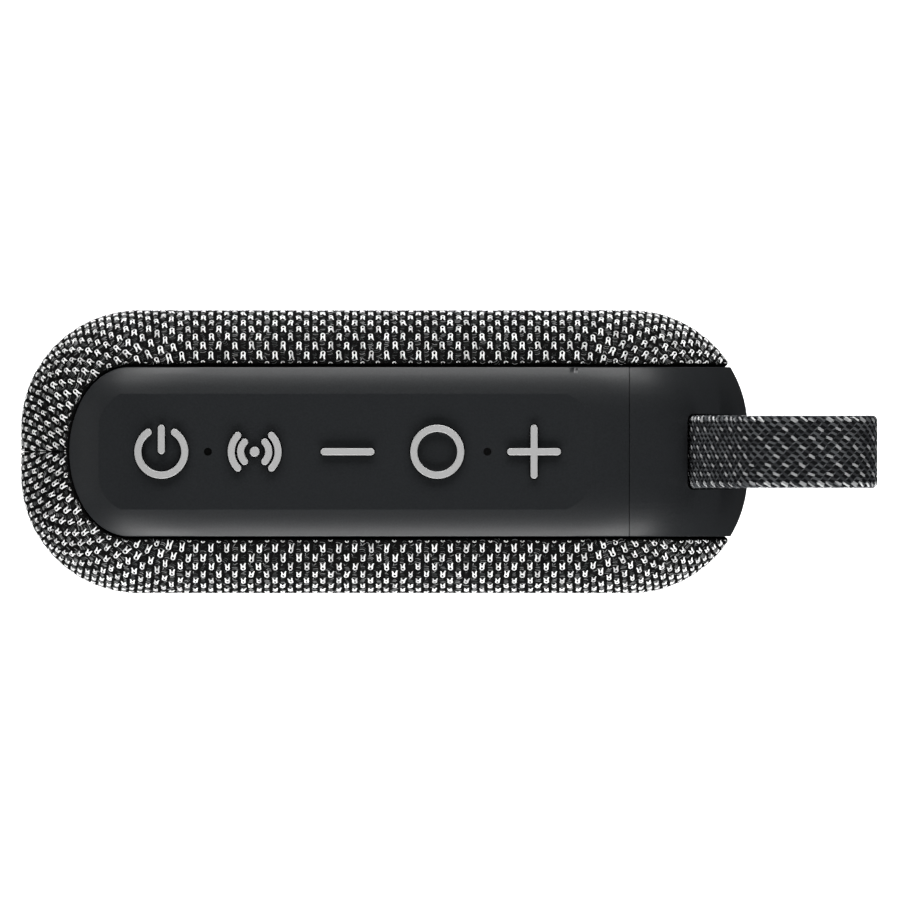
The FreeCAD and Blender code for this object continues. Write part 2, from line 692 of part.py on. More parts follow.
def end_cap():
    """The hard cap round the corner, with the loop's pocket and the port's recess."""
    seam = PANEL_SEAM_X + PANEL_SEAM_GAP
    band = band_region(0).common(box(seam, FAR, -FAR, FAR, 0, FAR * 2))
    cap = soften_rim(shell(0, CAP_DEPTH).common(band))
    well = loop_well(0).common(pillow(0)).common(band)
    cap = cap.fuse(well).cut(loop_pocket())
    axis = corner_point(BAR_T, 0)
    cap = cap.cut(cylinder_y(axis.x, axis.z, BAR_RADIUS + 0.01, -BAR_HALF_LENGTH, BAR_HALF_LENGTH))
    hinge = cover_axis()
    recess = cover_plate(COVER_GAP)
    knuckle_room = box(
        hinge.x - COVER_BARREL_RADIUS - KNUCKLE_GAP, FAR,
        -COVER_HALF_WIDTH - COVER_GAP, COVER_HALF_WIDTH + COVER_GAP,
        hinge.z - KNUCKLE_ROOM[0], hinge.z + KNUCKLE_ROOM[1],
    )
    floor = shell(CAP_FLOOR_DEPTHS[0], CAP_FLOOR_DEPTHS[1]).common(band).common(cap_floor_block(0))
    cap = cap.fuse(floor)
    cap = cap.cut(recess).cut(knuckle_room).cut(port_well())
    pin_end = COVER_PIN_REACH + 0.1
    cap = cap.cut(cylinder_y(hinge.x, hinge.z, COVER_PIN_RADIUS + 0.01, -pin_end, pin_end))
    return max(cap.removeSplitter().Solids, key=lambda solid: solid.Volume)


def loop_outline(inset):
    """The carry loop's edge line: straight runs and arcs, moved inward by inset."""
    corners = []
    count = len(LOOP_POINTS)
    points = [corner_point(t, w) for t, w in LOOP_POINTS]
    for index in range(count):
        corner = points[index]
        back = points[index - 1].sub(corner).normalize()
        ahead = points[(index + 1) % count].sub(corner).normalize()
        inward = back.add(ahead).normalize()
        half_angle = back.getAngle(ahead) / 2
        corners.append(corner.add(inward * (inset / math.sin(half_angle))))
    radii = [radius - inset for radius in LOOP_RADII]
    return rounded_path(corners, radii, True)


def strap():
    """The webbing carry loop."""
    half = WEBBING_WIDTH / 2
    outer = Part.Face(loop_outline(0)).extrude(Vector(0, WEBBING_WIDTH, 0))
    inner = Part.Face(loop_outline(WEBBING_THICKNESS)).extrude(Vector(0, WEBBING_WIDTH, 0))
    loop = outer.cut(inner)
    loop.translate(Vector(0, -half, 0))
    return loop


def strap_bar():
    axis = corner_point(BAR_T, 0)
    return cylinder_y(axis.x, axis.z, BAR_RADIUS, -BAR_HALF_LENGTH + 0.1, BAR_HALF_LENGTH - 0.1)


# ---- Charging port ------------------------------------------------------------------------------
def port_cover():
    """The rubber flap over the port, with its sealing plug and hinge barrel."""
    hinge = cover_axis()
    plate = cover_plate(0).common(pillow(0))
    barrel = cylinder_y(hinge.x, hinge.z, COVER_BARREL_RADIUS, -COVER_HALF_WIDTH, COVER_HALF_WIDTH)
    inner_x = HALF_LENGTH - COVER_THICKNESS
    plug = box(
        inner_x - PLUG_LENGTH, inner_x + 0.2,
        -PLUG_SIZE[1], PLUG_SIZE[1],
        PORT_Z - PLUG_SIZE[0], PORT_Z + PLUG_SIZE[0],
    )
    plug = plug.makeFillet(PLUG_SIZE[1] - 0.4, edges_along(plug, Vector(1, 0, 0)))
    tab_z = COVER_TOP_Z - 0.9
    notch = cylinder_y(HALF_LENGTH + 0.25, tab_z, 0.8, -2.2, 2.2)
    cover = fuse_all([plate, barrel, plug]).cut(notch)
    pin = cylinder_y(hinge.x, hinge.z, COVER_PIN_RADIUS + 0.05, -FAR, FAR)
    return cover.cut(pin).removeSplitter()


def port_cover_pin():
    hinge = cover_axis()
    return cylinder_y(hinge.x, hinge.z, COVER_PIN_RADIUS, -COVER_PIN_REACH, COVER_PIN_REACH)


def stadium_x(half_long, half_short, x0, x1):
    """A bar along X with a long round-ended section standing on end."""
    bar = box(x0, x1, -half_short, half_short, PORT_Z - half_long, PORT_Z + half_long)
    return bar.makeFillet(half_short - 0.01, edges_along(bar, Vector(1, 0, 0)))


def usb_c_port():
    """The charging socket: a metal shell with its tongue."""
    mouth = HALF_LENGTH - PORT_MOUTH_DEPTH
    back = mouth - PORT_LENGTH
    outer = stadium_x(PORT_WIDTH / 2, PORT_HEIGHT / 2, back, mouth)
    inner = stadium_x(PORT_WIDTH / 2 - PORT_WALL, PORT_HEIGHT / 2 - PORT_WALL, back + 1.0, mouth + 1)
    half_long, half_short, length = PORT_TONGUE
    root = back + 0.5
    tongue = box(root, root + length, -half_short, half_short, PORT_Z - half_long, PORT_Z + half_long)
    return outer.cut(inner).fuse(tongue).removeSplitter()


# ---- Sealed housing -----------------------------------------------------------------------------
def post_places():
    """Screw posts, one in each rounded corner."""
    reach = (CORNER_RADIUS - POST_INSET) * math.sqrt(0.5)
    places = []
    for side in (-1, 1):
        for z in (ARC_TOP_Z + reach, ARC_BOTTOM_Z - reach):
            places.append((side * (ARC_X + reach), z))
    return places


def seal_ring():
    """The rubber seal between the two halves of the housing."""
    outer = outline_prism(SEAL_INSETS[0], SPLIT_Y - SEAL_HALF_HEIGHT, SPLIT_Y + SEAL_HALF_HEIGHT)
    return outer.cut(outline_prism(SEAL_INSETS[1]))


def speaker_seat(side):
    """The ring inside the housing that a driver is screwed against."""
    near = SEAT_Y
    far = HALF_DEPTH - HOUSING_INNER + 0.2
    y0, y1 = (near, far) if side > 0 else (-far, -near)
    return cylinder_y(DRIVER_X, DRIVER_Z, DRIVER_RADIUS + 1.0, y0, y1)


def speaker_screw_places():
    return around_driver(SPEAKER_SCREW_CIRCLE, 4, 45)


def main_housing():
    """The tub: front, sides, top and bottom, with posts for the screws and the main board."""
    tub_space = box(-FAR, FAR, -FAR, SPLIT_Y, -FAR, FAR * 2)
    inside = pillow(HOUSING_OUTER)
    tub = shell(HOUSING_OUTER, HOUSING_INNER)
    tub = tub.fuse(speaker_seat(-1))
    front = HALF_DEPTH - HOUSING_OUTER
    for x, z in post_places():
        tub = tub.fuse(cylinder_y(x, z, POST_RADIUS, -front, SPLIT_Y).common(inside))
    for x, z in BOARD_POSTS:
        face = MAIN_BOARD_Y - BOARD_THICKNESS
        tub = tub.fuse(cylinder_y(x, z, BOARD_POST_RADIUS, -front, face).common(inside))
    well = loop_well(WELL_WALL + 0.15).common(inside)
    tub = tub.fuse(well)
    boss_depth, boss_half_width, boss_half_height = PORT_BOSS
    port_boss = box(
        HALF_LENGTH - boss_depth, FAR,
        -boss_half_width, boss_half_width,
        PORT_Z - boss_half_height, PORT_Z + boss_half_height,
    )
    tub = tub.fuse(port_boss.common(inside))
    tub = tub.common(tub_space).cut(loop_well(0.15))
    tub = tub.cut(cap_floor_block(CAP_FLOOR_GAP).cut(pillow(CAP_FLOOR_DEPTHS[1] + 0.1)))
    tub = tub.cut(cylinder_y(DRIVER_X, DRIVER_Z, DRIVER_OPENING, -FAR, 0))
    for x, z in post_places():
        tub = tub.cut(cylinder_y(x, z, SCREW_RADIUS + 0.02, 0, SPLIT_Y + 1))
    for x, z in BOARD_POSTS:
        tub = tub.cut(cylinder_y(x, z, SMALL_SCREW_RADIUS, MAIN_BOARD_Y - 8.0, 0))
    for x, z in speaker_screw_places():
        tub = tub.cut(cylinder_y(x, z, SMALL_SCREW_RADIUS, -SEAT_Y - 1.6, -SEAT_Y + 1))
    tub = tub.cut(seal_ring())
    for x in KEY_X.values():
        tub = tub.cut(cylinder_z(x, 0, CUP_RADIUS + 0.1, KEY_BOARD_TOP, TOP))
    for x, y in KEY_BOARD_POSTS:
        tub = tub.cut(cylinder_z(x, y, KEY_POST_RADIUS + 0.1, KEY_BOARD_TOP, TOP))
    tub = tub.cut(cylinder_z(LIGHT_X, 0, DOT_RADIUS + 0.1, KEY_BOARD_TOP, TOP))
    tub = tub.cut(cylinder_z(MIC_X, 0, 2 * DOT_RADIUS + 0.3, KEY_BOARD_TOP, TOP))
    tub = tub.cut(stadium_x(PORT_WIDTH / 2 + 0.05, PORT_HEIGHT / 2 + 0.05, 0, HALF_LENGTH))
    tub = tub.cut(port_well().common(box(HALF_LENGTH - PORT_MOUTH_DEPTH, FAR, -9, 9, 0, TOP)))
    return max(tub.removeSplitter().Solids, key=lambda solid: solid.Volume)


def rear_housing():
    """The rear half, with the passive radiator's opening."""
    back_space = box(-FAR, FAR, SPLIT_Y, FAR, -FAR, FAR * 2)
    inside = pillow(HOUSING_OUTER)
    back = shell(HOUSING_OUTER, HOUSING_INNER).fuse(speaker_seat(1))
    for x, z in post_places():
        back = back.fuse(cylinder_y(x, z, POST_RADIUS, SPLIT_Y, HALF_DEPTH).common(inside))
    back = back.common(back_space)
    back = back.cut(cylinder_y(DRIVER_X, DRIVER_Z, DRIVER_OPENING, 0, FAR))
    for x, z in post_places():
        back = back.cut(cylinder_y(x, z, SCREW_RADIUS + 0.05, SPLIT_Y - 1, HALF_DEPTH))
        back = back.cut(cylinder_y(x, z, SCREW_HEAD_RADIUS + 0.1, SCREW_SEAT_Y, HALF_DEPTH))
    for x, z in speaker_screw_places():
        back = back.cut(cylinder_y(x, z, SMALL_SCREW_RADIUS, SEAT_Y - 1, SEAT_Y + 1.6))
    return back.cut(seal_ring()).removeSplitter()


def housing_screws():
    screws = []
    seat = SCREW_SEAT_Y
    for x, z in post_places():
        head = cylinder_y(x, z, SCREW_HEAD_RADIUS, seat, seat + SCREW_HEAD_HEIGHT)
        slot = box(x - 0.9, x + 0.9, seat + 0.8, seat + 2, z - 0.2, z + 0.2)
        cross = box(x - 0.2, x + 0.2, seat + 0.8, seat + 2, z - 0.9, z + 0.9)
        shank = cylinder_y(x, z, SCREW_RADIUS, seat - SCREW_LENGTH, seat + 0.1)
        screws.append(head.fuse(shank).cut(slot).cut(cross).removeSplitter())
    return Part.makeCompound(screws)


# ---- Driver and passive radiator ----------------------------------------------------------------
def flange_face(side):
    """Y of the face of a speaker frame that meets its gasket."""
    return side * (SEAT_Y - GASKET_THICKNESS)


def driver_frame():
    """The driver's basket: a screwed flange, a tapered wall with windows and a rear seat."""
    front = flange_face(-1)
    basket = turned([
        (DRIVER_OPENING - 0.4, front),
        (DRIVER_RADIUS, front),
        (DRIVER_RADIUS, front + FLANGE_THICKNESS),
        (DRIVER_OPENING + 0.3, front + FLANGE_THICKNESS),
        (MAGNET_RADIUS + 0.8, PLATE_Y[0] - 0.4),
        (MAGNET_RADIUS + 0.8, PLATE_Y[0]),
        (GAP_RADIUS + 2.0, PLATE_Y[0]),
        (GAP_RADIUS + 2.0, PLATE_Y[0] - 0.8),
        (MAGNET_RADIUS - 0.2, PLATE_Y[0] - 0.8),
        (DRIVER_OPENING - 0.4, front + FLANGE_THICKNESS),
    ])
    for x, z in around_driver((MAGNET_RADIUS + DRIVER_OPENING) / 2 + 0.6, 6, 30):
        basket = basket.cut(cylinder_y(x, z, 3.0, -13.0, PLATE_Y[0] - 1.4))
    for x, z in speaker_screw_places():
        basket = basket.cut(cylinder_y(x, z, SMALL_SCREW_RADIUS + 0.05, -FAR, 0))
    return basket


def rolled_surround(side):
    """A half-roll rubber ring between a frame and its moving plate, with a flat lip on each side."""
    base = flange_face(side)
    centre = Vector(DRIVER_X, base, DRIVER_Z)
    roll = Part.makeTorus(ROLL_CENTRE, ROLL_RADIUS, centre, ALONG_Y)
    hollow = Part.makeTorus(ROLL_CENTRE, ROLL_RADIUS - ROLL_THICKNESS, centre, ALONG_Y)
    y0, y1 = sorted((base, side * FAR))
    outside = box(-FAR, FAR, y0, y1, -FAR, FAR)
    half_roll = roll.cut(hollow).common(outside)
    y0, y1 = sorted((base, base + side * ROLL_THICKNESS))
    outer_lip = tube_y(DRIVER_X, DRIVER_Z, DRIVER_OPENING - 0.05, ROLL_CENTRE + ROLL_RADIUS - 0.3, y0, y1)
    inner_lip = tube_y(DRIVER_X, DRIVER_Z, ROLL_CENTRE - ROLL_RADIUS + 0.3, CONE_RADIUS - 1.2, y0, y1)
    return fuse_all([half_roll, outer_lip, inner_lip]).removeSplitter()


def driver_cone():
    """The paper cone."""
    front = flange_face(-1)
    return turned([
        (CONE_RADIUS - 1.2, front),
        (CONE_RADIUS - 0.2, front),
        (COIL_RADIUS + 0.65, front + 5.4),
        (COIL_RADIUS + 0.05, front + 5.4),
        (COIL_RADIUS + 0.05, front + 4.8),
    ])


def dust_cap():
    """The domed cap over the middle of the cone."""
    front = flange_face(-1) + 3.2
    rise = 1.8
    radius = COIL_RADIUS + 1.6
    ball = (radius ** 2 + rise ** 2) / (2 * rise)
    centre = Vector(DRIVER_X, front - rise + ball, DRIVER_Z)
    dome = Part.makeSphere(ball, centre).cut(Part.makeSphere(ball - 0.3, centre))
    dome = dome.common(box(-FAR, FAR, -FAR, front, -FAR, FAR))
    return dome.cut(driver_cone())


def voice_coil():
    """The former tube with its copper winding."""
    front = flange_face(-1) + 5.4
    former = turned([
        (COIL_RADIUS - 0.15, front),
        (COIL_RADIUS + 0.05, front),
        (COIL_RADIUS + 0.05, PLATE_Y[1] + 0.8),
        (COIL_RADIUS - 0.15, PLATE_Y[1] + 0.8),
    ])
    winding = tube_y(DRIVER_X, DRIVER_Z, COIL_OUTER, COIL_RADIUS, PLATE_Y[0] - 0.8, PLATE_Y[1] + 0.8)
    return former.fuse(winding).removeSplitter()


def spider():
    """The corrugated centring disc between the coil and the basket."""
    inner = COIL_RADIUS + 0.1
    outer = MAGNET_RADIUS - 0.6
    waves = 8
    level = PLATE_Y[0] - 3.2
    upper = []
    lower = []
    for index in range(waves + 1):
        r = inner + (outer - inner) * index / waves
        y = level + (0.35 if index % 2 else -0.35)
        upper.append((r, y))
        lower.append((r, y + 0.3))
    rim = turned([
        (outer - 0.1, level - 0.3),
        (outer + 0.9, level - 0.3),
        (outer + 0.9, level),
        (outer - 0.1, level),
    ])
    return turned(upper + lower[::-1]).fuse(rim).removeSplitter()


def top_plate():
    return tube_y(DRIVER_X, DRIVER_Z, MAGNET_RADIUS, GAP_RADIUS, PLATE_Y[0], PLATE_Y[1])


def magnet():
    return tube_y(DRIVER_X, DRIVER_Z, MAGNET_RADIUS - 0.4, MAGNET_HOLE, PLATE_Y[1], MAGNET_END_Y)


def yoke():
    """The back plate and centre pole in one."""
    plate = cylinder_y(DRIVER_X, DRIVER_Z, MAGNET_RADIUS, MAGNET_END_Y, YOKE_END_Y)
    pole = cylinder_y(DRIVER_X, DRIVER_Z, POLE_RADIUS, PLATE_Y[0], YOKE_END_Y)
    return plate.fuse(pole).removeSplitter()


def speaker_gaskets():
    rings = []
    for side in (-1, 1):
        y0, y1 = sorted((flange_face(side), side * SEAT_Y))
        ring = tube_y(DRIVER_X, DRIVER_Z, DRIVER_RADIUS, DRIVER_OPENING, y0, y1)
        for x, z in speaker_screw_places():
            ring = ring.cut(cylinder_y(x, z, SMALL_SCREW_RADIUS + 0.05, -FAR, FAR))
        rings.append(ring)
    return Part.makeCompound(rings)


def speaker_screws():
    screws = []
    for side in (-1, 1):
        seat = flange_face(side) - side * FLANGE_THICKNESS
        for x, z in speaker_screw_places():
            screws.append(small_screw_y(x, z, seat, side, 3.2))
    return Part.makeCompound(screws)


def radiator_frame():
    front = flange_face(1)
    ring = turned([
        (DRIVER_OPENING - 0.4, front),
        (DRIVER_RADIUS, front),
        (DRIVER_RADIUS, front - FLANGE_THICKNESS),
        (DRIVER_OPENING - 0.4, front - FLANGE_THICKNESS),
    ])
    for x, z in speaker_screw_places():
        ring = ring.cut(cylinder_y(x, z, SMALL_SCREW_RADIUS + 0.05, 0, FAR))
    return ring


def radiator_plate():
    front = flange_face(1)
    plate = cylinder_y(DRIVER_X, DRIVER_Z, CONE_RADIUS - 0.2, front - 0.8, front)
    raised = cylinder_y(DRIVER_X, DRIVER_Z, CONE_RADIUS - 2.0, front - 0.1, front + 0.4)
    return plate.fuse(raised).removeSplitter()


def radiator_weight():
    front = flange_face(1) - 0.8
    return cylinder_y(DRIVER_X, DRIVER_Z, RADIATOR_WEIGHT_RADIUS, front - 2.2, front)


# ---- Electronics and battery --------------------------------------------------------------------
def main_board():
    low = MAIN_BOARD_Y - BOARD_THICKNESS
    board = box(MAIN_BOARD_X[0], MAIN_BOARD_X[1], low, MAIN_BOARD_Y, MAIN_BOARD_Z[0], MAIN_BOARD_Z[1])
    board = board.makeFillet(2.0, edges_along(board, ALONG_Y))
    for x, z in BOARD_POSTS:
        board = board.cut(cylinder_y(x, z, SMALL_SCREW_RADIUS, low - 1, MAIN_BOARD_Y + 1))
    return board


def board_screws():
    """Screws of both boards."""
    screws = []
    for x, z in BOARD_POSTS:
        screws.append(small_screw_y(x, z, MAIN_BOARD_Y, -1, 6.0))
    for x, y in KEY_BOARD_POSTS:
        screws.append(small_screw_z(x, y, KEY_BOARD_TOP - BOARD_THICKNESS, 4.0))
    return Part.makeCompound(screws)


def board_part(x, z, width, height, thickness):
    """A flat component on the front face of the main board."""
    front = MAIN_BOARD_Y - BOARD_THICKNESS
    return box(x - width / 2, x + width / 2, front - thickness, front, z - height / 2, z + height / 2)


def radio_module():
    """The shielded radio with its printed aerial board."""
    carrier = board_part(RADIO_PLACE[0], RADIO_PLACE[1], 13.0, 17.0, 0.8)
    front = MAIN_BOARD_Y - BOARD_THICKNESS - 0.8
    x = RADIO_PLACE[0]
    z = RADIO_PLACE[1] - 1.5
    shield = box(x - 5.0, x + 5.0, front - 2.0, front, z - 5.5, z + 5.5)
    return carrier.fuse(shield).removeSplitter()


def filter_capacitors():
    front = MAIN_BOARD_Y - BOARD_THICKNESS
    cans = []
    for x, z in ((21.5, 46.0), (21.5, 39.0), (21.5, 32.0)):
        cans.append(cylinder_y(x, z, 2.5, front - 5.4, front))
    return Part.makeCompound(cans)


def battery_cell():
    cell = box(BATTERY_X[0], BATTERY_X[1], BATTERY_Y[0], BATTERY_Y[1], BATTERY_Z[0], BATTERY_Z[1])
    return cell.makeFillet(BATTERY_EDGE, edges_along(cell, ALONG_Z))


def battery_leads():
    """Two short leads from the cell's top over to the main board."""
    leads = []
    for x in (21.5, 24.5):
        route = [
            Vector(x, 6.0, BATTERY_Z[1]),
            Vector(x, 6.0, BATTERY_Z[1] + 4.0),
            Vector(x, 1.0, BATTERY_Z[1] + 4.0),
            Vector(x, 1.0, BATTERY_Z[1] - 4.0),
            Vector(x, MAIN_BOARD_Y, BATTERY_Z[1] - 4.0),
        ]
        leads.append(round_tube(route, 1.3, 0.6))
    return Part.makeCompound(leads)


def speaker_leads():
    """Two leads from the main board to the driver's terminals."""
    leads = []
    front = MAIN_BOARD_Y - BOARD_THICKNESS
    for z in (27.0, 30.0):
        route = [
            Vector(17.0, front, z),
            Vector(17.0, front - 4.0, z),
            Vector(DRIVER_X + DRIVER_RADIUS - 1.0, front - 4.0, z),
            Vector(DRIVER_X + DRIVER_RADIUS - 1.0, flange_face(-1) + FLANGE_THICKNESS, z),
        ]
        leads.append(round_tube(route, 1.3, 0.5))
    return Part.makeCompound(leads)


# ---- Everything, by node name -------------------------------------------------------------------
def all_parts():
    parts = {
        "front_fabric": fabric(True),
        "rear_fabric": fabric(False),
        "front_grille": grille(True),
        "rear_grille": grille(False),
        "foot_pad": foot_pad(),
        "panel_skin": panel_skin(),
        "panel_frame": panel_frame(),
        "key_board": key_board(),
        "tact_switches": tact_switches(),
        "status_led": status_led(),
        "light_pipe": light_pipe(),
        "microphone": microphone(),
        "microphone_boot": microphone_boot(),
        "flex_cable": flex_cable(),
        "ribbon_socket": ribbon_socket(),
        "end_cap": end_cap(),
        "strap": strap(),
        "strap_bar": strap_bar(),
        "port_cover": port_cover(),
        "port_cover_pin": port_cover_pin(),
        "usb_c_port": usb_c_port(),
        "main_housing": main_housing(),
        "rear_housing": rear_housing(),
        "housing_seal": seal_ring(),
        "housing_screws": housing_screws(),
        "driver_frame": driver_frame(),
        "driver_surround": rolled_surround(-1),
        "driver_cone": driver_cone(),
        "dust_cap": dust_cap(),
        "voice_coil": voice_coil(),
        "spider": spider(),
        "top_plate": top_plate(),
        "magnet": magnet(),
        "yoke": yoke(),
        "speaker_gaskets": speaker_gaskets(),
        "speaker_screws": speaker_screws(),
        "radiator_frame": radiator_frame(),
        "radiator_surround": rolled_surround(1),
        "radiator_plate": radiator_plate(),
        "radiator_weight": radiator_weight(),
        "main_board": main_board(),
        "board_screws": board_screws(),
        "radio_module": radio_module(),
        "amplifier_chip": board_part(30.5, 33.5, 6.0, 6.0, 1.0),
        "charger_chip": board_part(38.5, 33.5, 4.0, 4.0, 0.9),
        "filter_capacitors": filter_capacitors(),
        "battery_cell": battery_cell(),
        "battery_leads": battery_leads(),
        "speaker_leads": speaker_leads(),
    }
    for key in KEY_X:
        parts[key + "_symbol"] = symbol(key)
        parts[key + "_pad"] = pad(key)
    return parts


os.makedirs("parts", exist_ok=True)
for name, shape in all_parts().items():
    shape.exportStep("parts/" + name + ".step")
    print(name, "solids", len(shape.Solids), "volume", round(shape.Volume, 1), "valid", shape.isValid())
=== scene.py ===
"""Studio scene of a small shower speaker: knitted covers, control panel, end cap and webbing carry loop."""

import json
import math

import bpy
import numpy as np
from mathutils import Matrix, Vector


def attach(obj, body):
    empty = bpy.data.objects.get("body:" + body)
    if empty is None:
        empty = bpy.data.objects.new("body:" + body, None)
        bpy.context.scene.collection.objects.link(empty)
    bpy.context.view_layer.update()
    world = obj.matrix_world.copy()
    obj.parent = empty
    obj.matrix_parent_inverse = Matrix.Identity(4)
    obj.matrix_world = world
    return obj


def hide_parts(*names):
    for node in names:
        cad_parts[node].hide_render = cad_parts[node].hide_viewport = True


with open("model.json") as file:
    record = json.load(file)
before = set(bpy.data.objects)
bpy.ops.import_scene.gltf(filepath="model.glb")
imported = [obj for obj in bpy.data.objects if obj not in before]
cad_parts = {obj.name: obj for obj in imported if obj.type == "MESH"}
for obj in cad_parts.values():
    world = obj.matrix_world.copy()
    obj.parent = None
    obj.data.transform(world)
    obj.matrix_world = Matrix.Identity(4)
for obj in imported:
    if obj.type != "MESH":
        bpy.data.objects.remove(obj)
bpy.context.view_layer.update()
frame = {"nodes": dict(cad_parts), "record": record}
MM = 0.001

# ---- Driving dimensions, as in the CAD source, in millimetres -----------------------------------
BODY_LENGTH = 105.5
BODY_DEPTH = 41.0
BODY_HEIGHT = 84.0
FOOT_HEIGHT = 0.7
CORNER_RADIUS = 26.0
EDGE_RADIUS = 17.1
FABRIC_DEPTH = 0.9
BAND_HALF_WIDTH = 12.31
BAND_TIP_INSET = 6.9
BAND_TIP_LENGTH = 8.72
BAND_GAP = 0.38
SEAM_GAP = 0.02
SEAM_EDGE = 0.1
TUCK_RADIUS = 0.5
FOOT_LENGTH = 62.0
FOOT_WIDTH = 15.0
FOOT_GAP = 0.15
LOOP_ANGLE = 38.0
WEBBING_WIDTH = 10.6
WEBBING_THICKNESS = 1.6
LOOP_POINTS = [(19.46, 0.0), (29.5, 6.77), (43.17, 12.29), (58.9, 0.0), (43.17, -12.29), (29.5, -6.77)]
LOOP_RADII = [2.65, 50.0, 8.0, 5.5, 8.0, 50.0]

# ---- Knit and weave, in millimetres, turns in radians -------------------------------------------
STITCH_PITCH = 2.318
STITCH_START = 0.27
ROW_PITCH = 1.88
ROW_START = 0.72
STITCH_HEIGHT = 0.17
STITCH_MARGIN = 0.15
STITCH_WANDER = 0.035
STITCH_VARIATION = 0.06
STITCH_SHARES = [0.7, 0.3]
FLECK_HEIGHT = 0.12
FLECK_MARGIN = 0.04
FLECK_TURN = 0.22
FLECK_VARIATION = 0.15
FLECK_SHARES = [0.25, 0.4, 0.35]
KNIT_SPREAD = 1.2
KNIT_SEED = 11
WEAVE_PITCH = 1.275
WEAVE_HEIGHT = 0.16
WEAVE_TURN = 0.07
WEAVE_SEED = 5
WEBBING_INSET = 0.12

# Section of a strand, as shares of its half width and height, and how its ends sink into the cloth.
STRAND_SECTION = ((-1.0, 0.0), (-0.55, 0.8), (0.0, 1.0), (0.55, 0.8), (1.0, 0.0))
STRAND_QUADS = 16
STRAND_END_HEIGHT = 0.35
STRAND_SINK = 0.03

# How the cloth is drawn together and turned round the corners, by distance from the flat face.
GATHER_START = 16.0
GATHER_SHARE = 0.13
TURN_START = 13.0
TURN_RUN = 9.0
TURN_SKEW = 1.3
CORNER_TURN = math.radians(12.0)

# ---- Mesh fineness ------------------------------------------------------------------------------
CORNER_STEPS = 90
OUTLINE_STEP = 0.8
SKIN_COLUMNS = 44
BEND_COLUMNS = 7
LINING_COLUMNS = 12
FACE_RINGS = 26
REACH_HALVINGS = 40
FRAME_STEP = 0.05
LINE_STEP = 0.1
LOOP_ARC_POINTS = 60
STRAP_STEP = 0.4
STRAP_COLUMNS = 60
NO_EDGE_NEAR = 50.0

# ---- Values that follow -------------------------------------------------------------------------
HALF_LENGTH = BODY_LENGTH / 2
HALF_HEIGHT = BODY_HEIGHT / 2
CENTRE_Z = FOOT_HEIGHT + HALF_HEIGHT
ARC_X = HALF_LENGTH - CORNER_RADIUS
ARC_TOP_Z = CENTRE_Z + HALF_HEIGHT - CORNER_RADIUS
FACE_X = HALF_LENGTH - EDGE_RADIUS
FACE_Z = HALF_HEIGHT - EDGE_RADIUS
FACE_CORNER = CORNER_RADIUS - EDGE_RADIUS
SIDE_FLAT = BODY_DEPTH / 2 - EDGE_RADIUS
QUARTER_ARC = EDGE_RADIUS * math.pi / 2

# A stitch lies in a flat piece; its ends drop by their distance squared over this length.
SAG_LENGTH = 3.2 * EDGE_RADIUS

# ---- Surfaces and studio, in metres and watts ---------------------------------------------------
GRAIN_DEPTH = 0.02 * MM
# Painted contact shade on the panel rubber: how far it reaches, how dark it gets, and the occlusion range
# it maps from.
PAINTED_SHADE_REACH = 1.6 * MM
PAINTED_SHADE_DEPTH = 0.75
PAINTED_SHADE_RANGE = (0.35, 0.97)
NOISE_RANGE = (0.35, 0.65)
FLOOR_SIZE = 6.0
FILL_LIGHT = 0.025
LAMP_AIM = Vector((0, 0, 0.06))
LAMPS = [
    ("front", (0.0, -0.8, 0.36), (0.9, 0.3), 5.5),
    ("front_wide", (0.0, -0.82, 0.37), (1.7, 0.3), 12.5),
    ("rear", (0.0, 0.8, 0.36), (0.9, 0.3), 5.0),
    ("rear_wide", (0.0, 0.82, 0.37), (1.7, 0.3), 11.0),
    ("left", (-0.8, 0.0, 0.2), (0.6, 0.25), 0.3),
]
VIEW_WIDTH = 0.1308
CAMERA_PLACE = (0.00949, 0.00025, 2.0)


# ---- Mesh helpers -------------------------------------------------------------------------------
def make_piece(name, points_mm, faces, body, materials):
    """A mesh object from points in millimetres, riding on a body."""
    mesh = bpy.data.meshes.new(name)
    mesh.from_pydata((np.asarray(points_mm) * MM).tolist(), [], faces)
    mesh.update()
    mesh.polygons.foreach_set("use_smooth", [True] * len(mesh.polygons))
    piece = bpy.data.objects.new(name, mesh)
    bpy.context.scene.collection.objects.link(piece)
    for material in materials:
        mesh.materials.append(material)
    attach(piece, body)
    return piece


def grid_faces(rows, columns, closed_rows=False, closed_columns=False):
    """Quads of a grid of points, row by row."""
    faces = []
    for row in range(rows if closed_rows else rows - 1):
        after = (row + 1) % rows
        for column in range(columns if closed_columns else columns - 1):
            beside = (column + 1) % columns
            faces.append((
                row * columns + column,
                row * columns + beside,
                after * columns + beside,
                after * columns + column,
            ))
    return faces


# ---- Form of the covers -------------------------------------------------------------------------
def unroll(u, v):
    """How far a point of the unrolled cloth is past the flat face, and which way, by arrays."""
    inner_x = FACE_X - FACE_CORNER
    inner_z = FACE_Z - FACE_CORNER
    past_x = np.abs(u) - inner_x
    past_z = np.abs(v) - inner_z
    corner = (past_x > 0) & (past_z > 0)
    reach = np.where(corner, np.hypot(past_x, past_z), 1.0)
    side = past_x > past_z
    nx = np.where(corner, past_x / reach, np.where(side, 1.0, 0.0)) * np.sign(u)
    nz = np.where(corner, past_z / reach, np.where(side, 0.0, 1.0)) * np.sign(v)
    away = np.where(corner, reach, np.where(side, past_x, past_z)) - FACE_CORNER
    return np.maximum(away, 0), nx, nz


